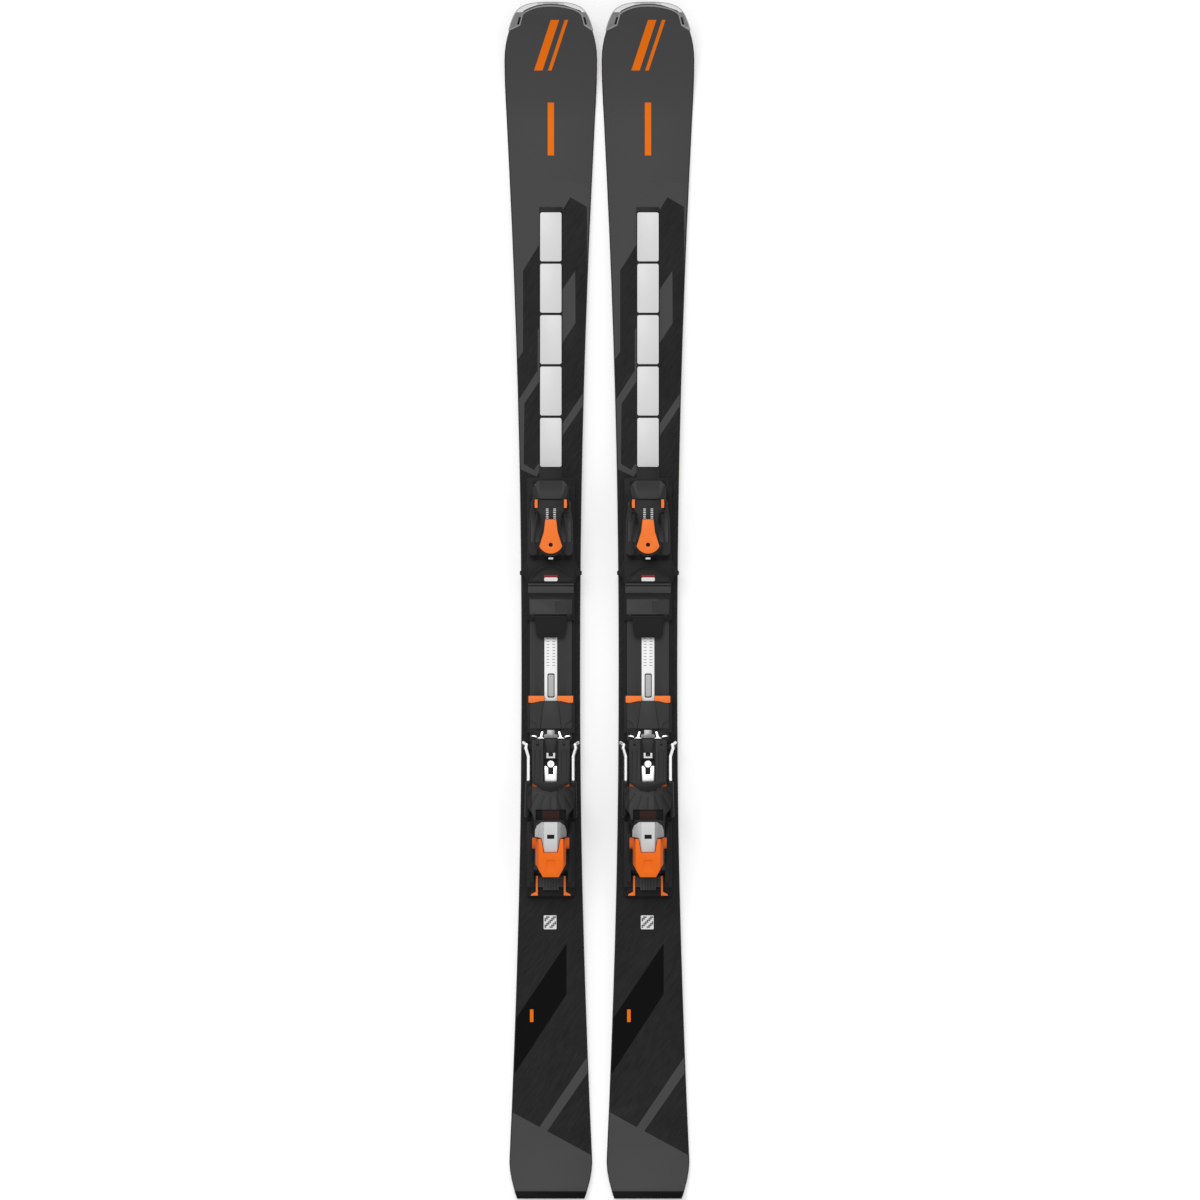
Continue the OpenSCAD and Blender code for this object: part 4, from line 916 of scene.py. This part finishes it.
def mix_by_ray(tree, others, seen, out):
    """Sends one shader to the rays that see and another to all others."""
    path = tree.nodes.new("ShaderNodeLightPath")
    share = path.outputs[f"Is {SEEING_RAYS[0]} Ray"]
    for kind in SEEING_RAYS[1:]:
        most = tree.nodes.new("ShaderNodeMath")
        most.operation = "MAXIMUM"
        tree.links.new(share, most.inputs[0])
        tree.links.new(path.outputs[f"Is {kind} Ray"], most.inputs[1])
        share = most.outputs["Value"]
    mix = tree.nodes.new("ShaderNodeMixShader")
    tree.links.new(share, mix.inputs["Fac"])
    tree.links.new(others, mix.inputs[1])
    tree.links.new(seen, mix.inputs[2])
    tree.links.new(mix.outputs["Shader"], out.inputs["Surface"])


def floor_material():
    """White floor that glows a little where it is seen or mirrored, but does not light the skis by that."""
    m = bpy.data.materials.new("floor")
    m.use_nodes = True
    tree = m.node_tree
    tree.nodes.clear()
    diffuse = tree.nodes.new("ShaderNodeBsdfDiffuse")
    diffuse.inputs["Color"].default_value = FLOOR_COLOUR
    glow = tree.nodes.new("ShaderNodeEmission")
    glow.inputs["Strength"].default_value = FLOOR_GLOW
    both = tree.nodes.new("ShaderNodeAddShader")
    tree.links.new(diffuse.outputs["BSDF"], both.inputs[0])
    tree.links.new(glow.outputs["Emission"], both.inputs[1])
    mix_by_ray(tree, diffuse.outputs["BSDF"], both.outputs["Shader"], tree.nodes.new("ShaderNodeOutputMaterial"))
    return m


def sky(tree, strength):
    """White background of a strength."""
    shader = tree.nodes.new("ShaderNodeBackground")
    shader.inputs["Color"].default_value = WHITE
    shader.inputs["Strength"].default_value = strength
    return shader.outputs["Background"]


floor_mesh = bpy.data.meshes.new("floor")
floor_mesh.from_pydata([(x, y, FLOOR_Z) for x, y in box_shape(-REACH, -REACH, REACH, REACH)], [], [(0, 1, 2, 3)])
floor_mesh.materials.append(floor_material())
floor = bpy.data.objects.new("floor", floor_mesh)
scene.collection.objects.link(floor)
floor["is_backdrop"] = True

world = bpy.data.worlds.new("world")
scene.world = world
world.use_nodes = True
sky_tree = world.node_tree
sky_tree.nodes.clear()
mix_by_ray(sky_tree, sky(sky_tree, SKY_LIGHT), sky(sky_tree, SKY_SEEN), sky_tree.nodes.new("ShaderNodeOutputWorld"))

sun_data = bpy.data.lights.new("sun", "SUN")
sun_data.energy = SUN_ENERGY
sun_data.angle = math.radians(SUN_WIDTH)
sun = bpy.data.objects.new("sun", sun_data)
sun.rotation_euler = [math.radians(a) for a in SUN_TURN]
scene.collection.objects.link(sun)
scene.view_settings.view_transform = "Standard"

# ---- How far each image point is off ----

# Rear end of the rearmost front plate, the front plates' pitch and length, and the slack in telling them apart
PLATE_Y, PLATE_PITCH, PLATE_LEN, PLATE_SLACK = 192, 73.9, 70.4, 1


def shown_box(objects, test=lambda c: True):
    """Box in the picture round the points, in millimetres, that pass a test."""
    places = [shown_at(o.matrix_world @ v.co) for o in objects for v in o.data.vertices
              if test((o.matrix_world @ v.co) / MM)]
    xs, ys = [p[0] for p in places], [p[1] for p in places]
    return min(xs), min(ys), max(xs), max(ys)


def middle(box):
    return ((box[0] + box[2]) / 2, (box[1] + box[3]) / 2)


def plate_point(k, sign):
    """Image point of a front damper plate's middle, counted from the rear, on the left (-1) or right (1) ski."""
    low = PLATE_Y + PLATE_PITCH * k - PLATE_SLACK
    high = PLATE_Y + PLATE_PITCH * k + PLATE_LEN + PLATE_SLACK
    return middle(shown_box([nodes["damper_plates"]], lambda c: c.x * sign > 0 and low < c.y < high))


bpy.context.view_layer.update()
everything = [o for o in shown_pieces() if o.type == "MESH"]
whole = shown_box(everything)
found = {
    "pair_left": (whole[0], None),
    "pair_right": (whole[2], None),
    "pair_top": (None, whole[1]),
    "pair_bottom": (None, whole[3]),
    "left_first_plate": plate_point(4, -1),
    "right_last_plate": plate_point(0, 1),
    "left_wedge_hole": middle(shown_box([nodes["left_toe_wedge"]],
                                        lambda c: math.hypot(c.x - ski_x("left"), c.y - TOE_Y - 15) < 3.3)),
    "left_top_window": middle(shown_box([nodes["left_heel_top"]], lambda c: abs(c.x - ski_x("left")) < 5.4
                                        and -67.2 < c.y - HEEL_Y < -60.8 and 99 < c.z < 99.6)),
}
for name in ("force_marks", "toe_clip", "badge", "strap_marks", "strap_label", "code_label"):
    found["left_" + name] = middle(shown_box([pieces["left_" + name]]))
off = {name: [None if a is None else round(a - b, 2) for a, b in zip(found[name], POINTS[name])] for name in POINTS}
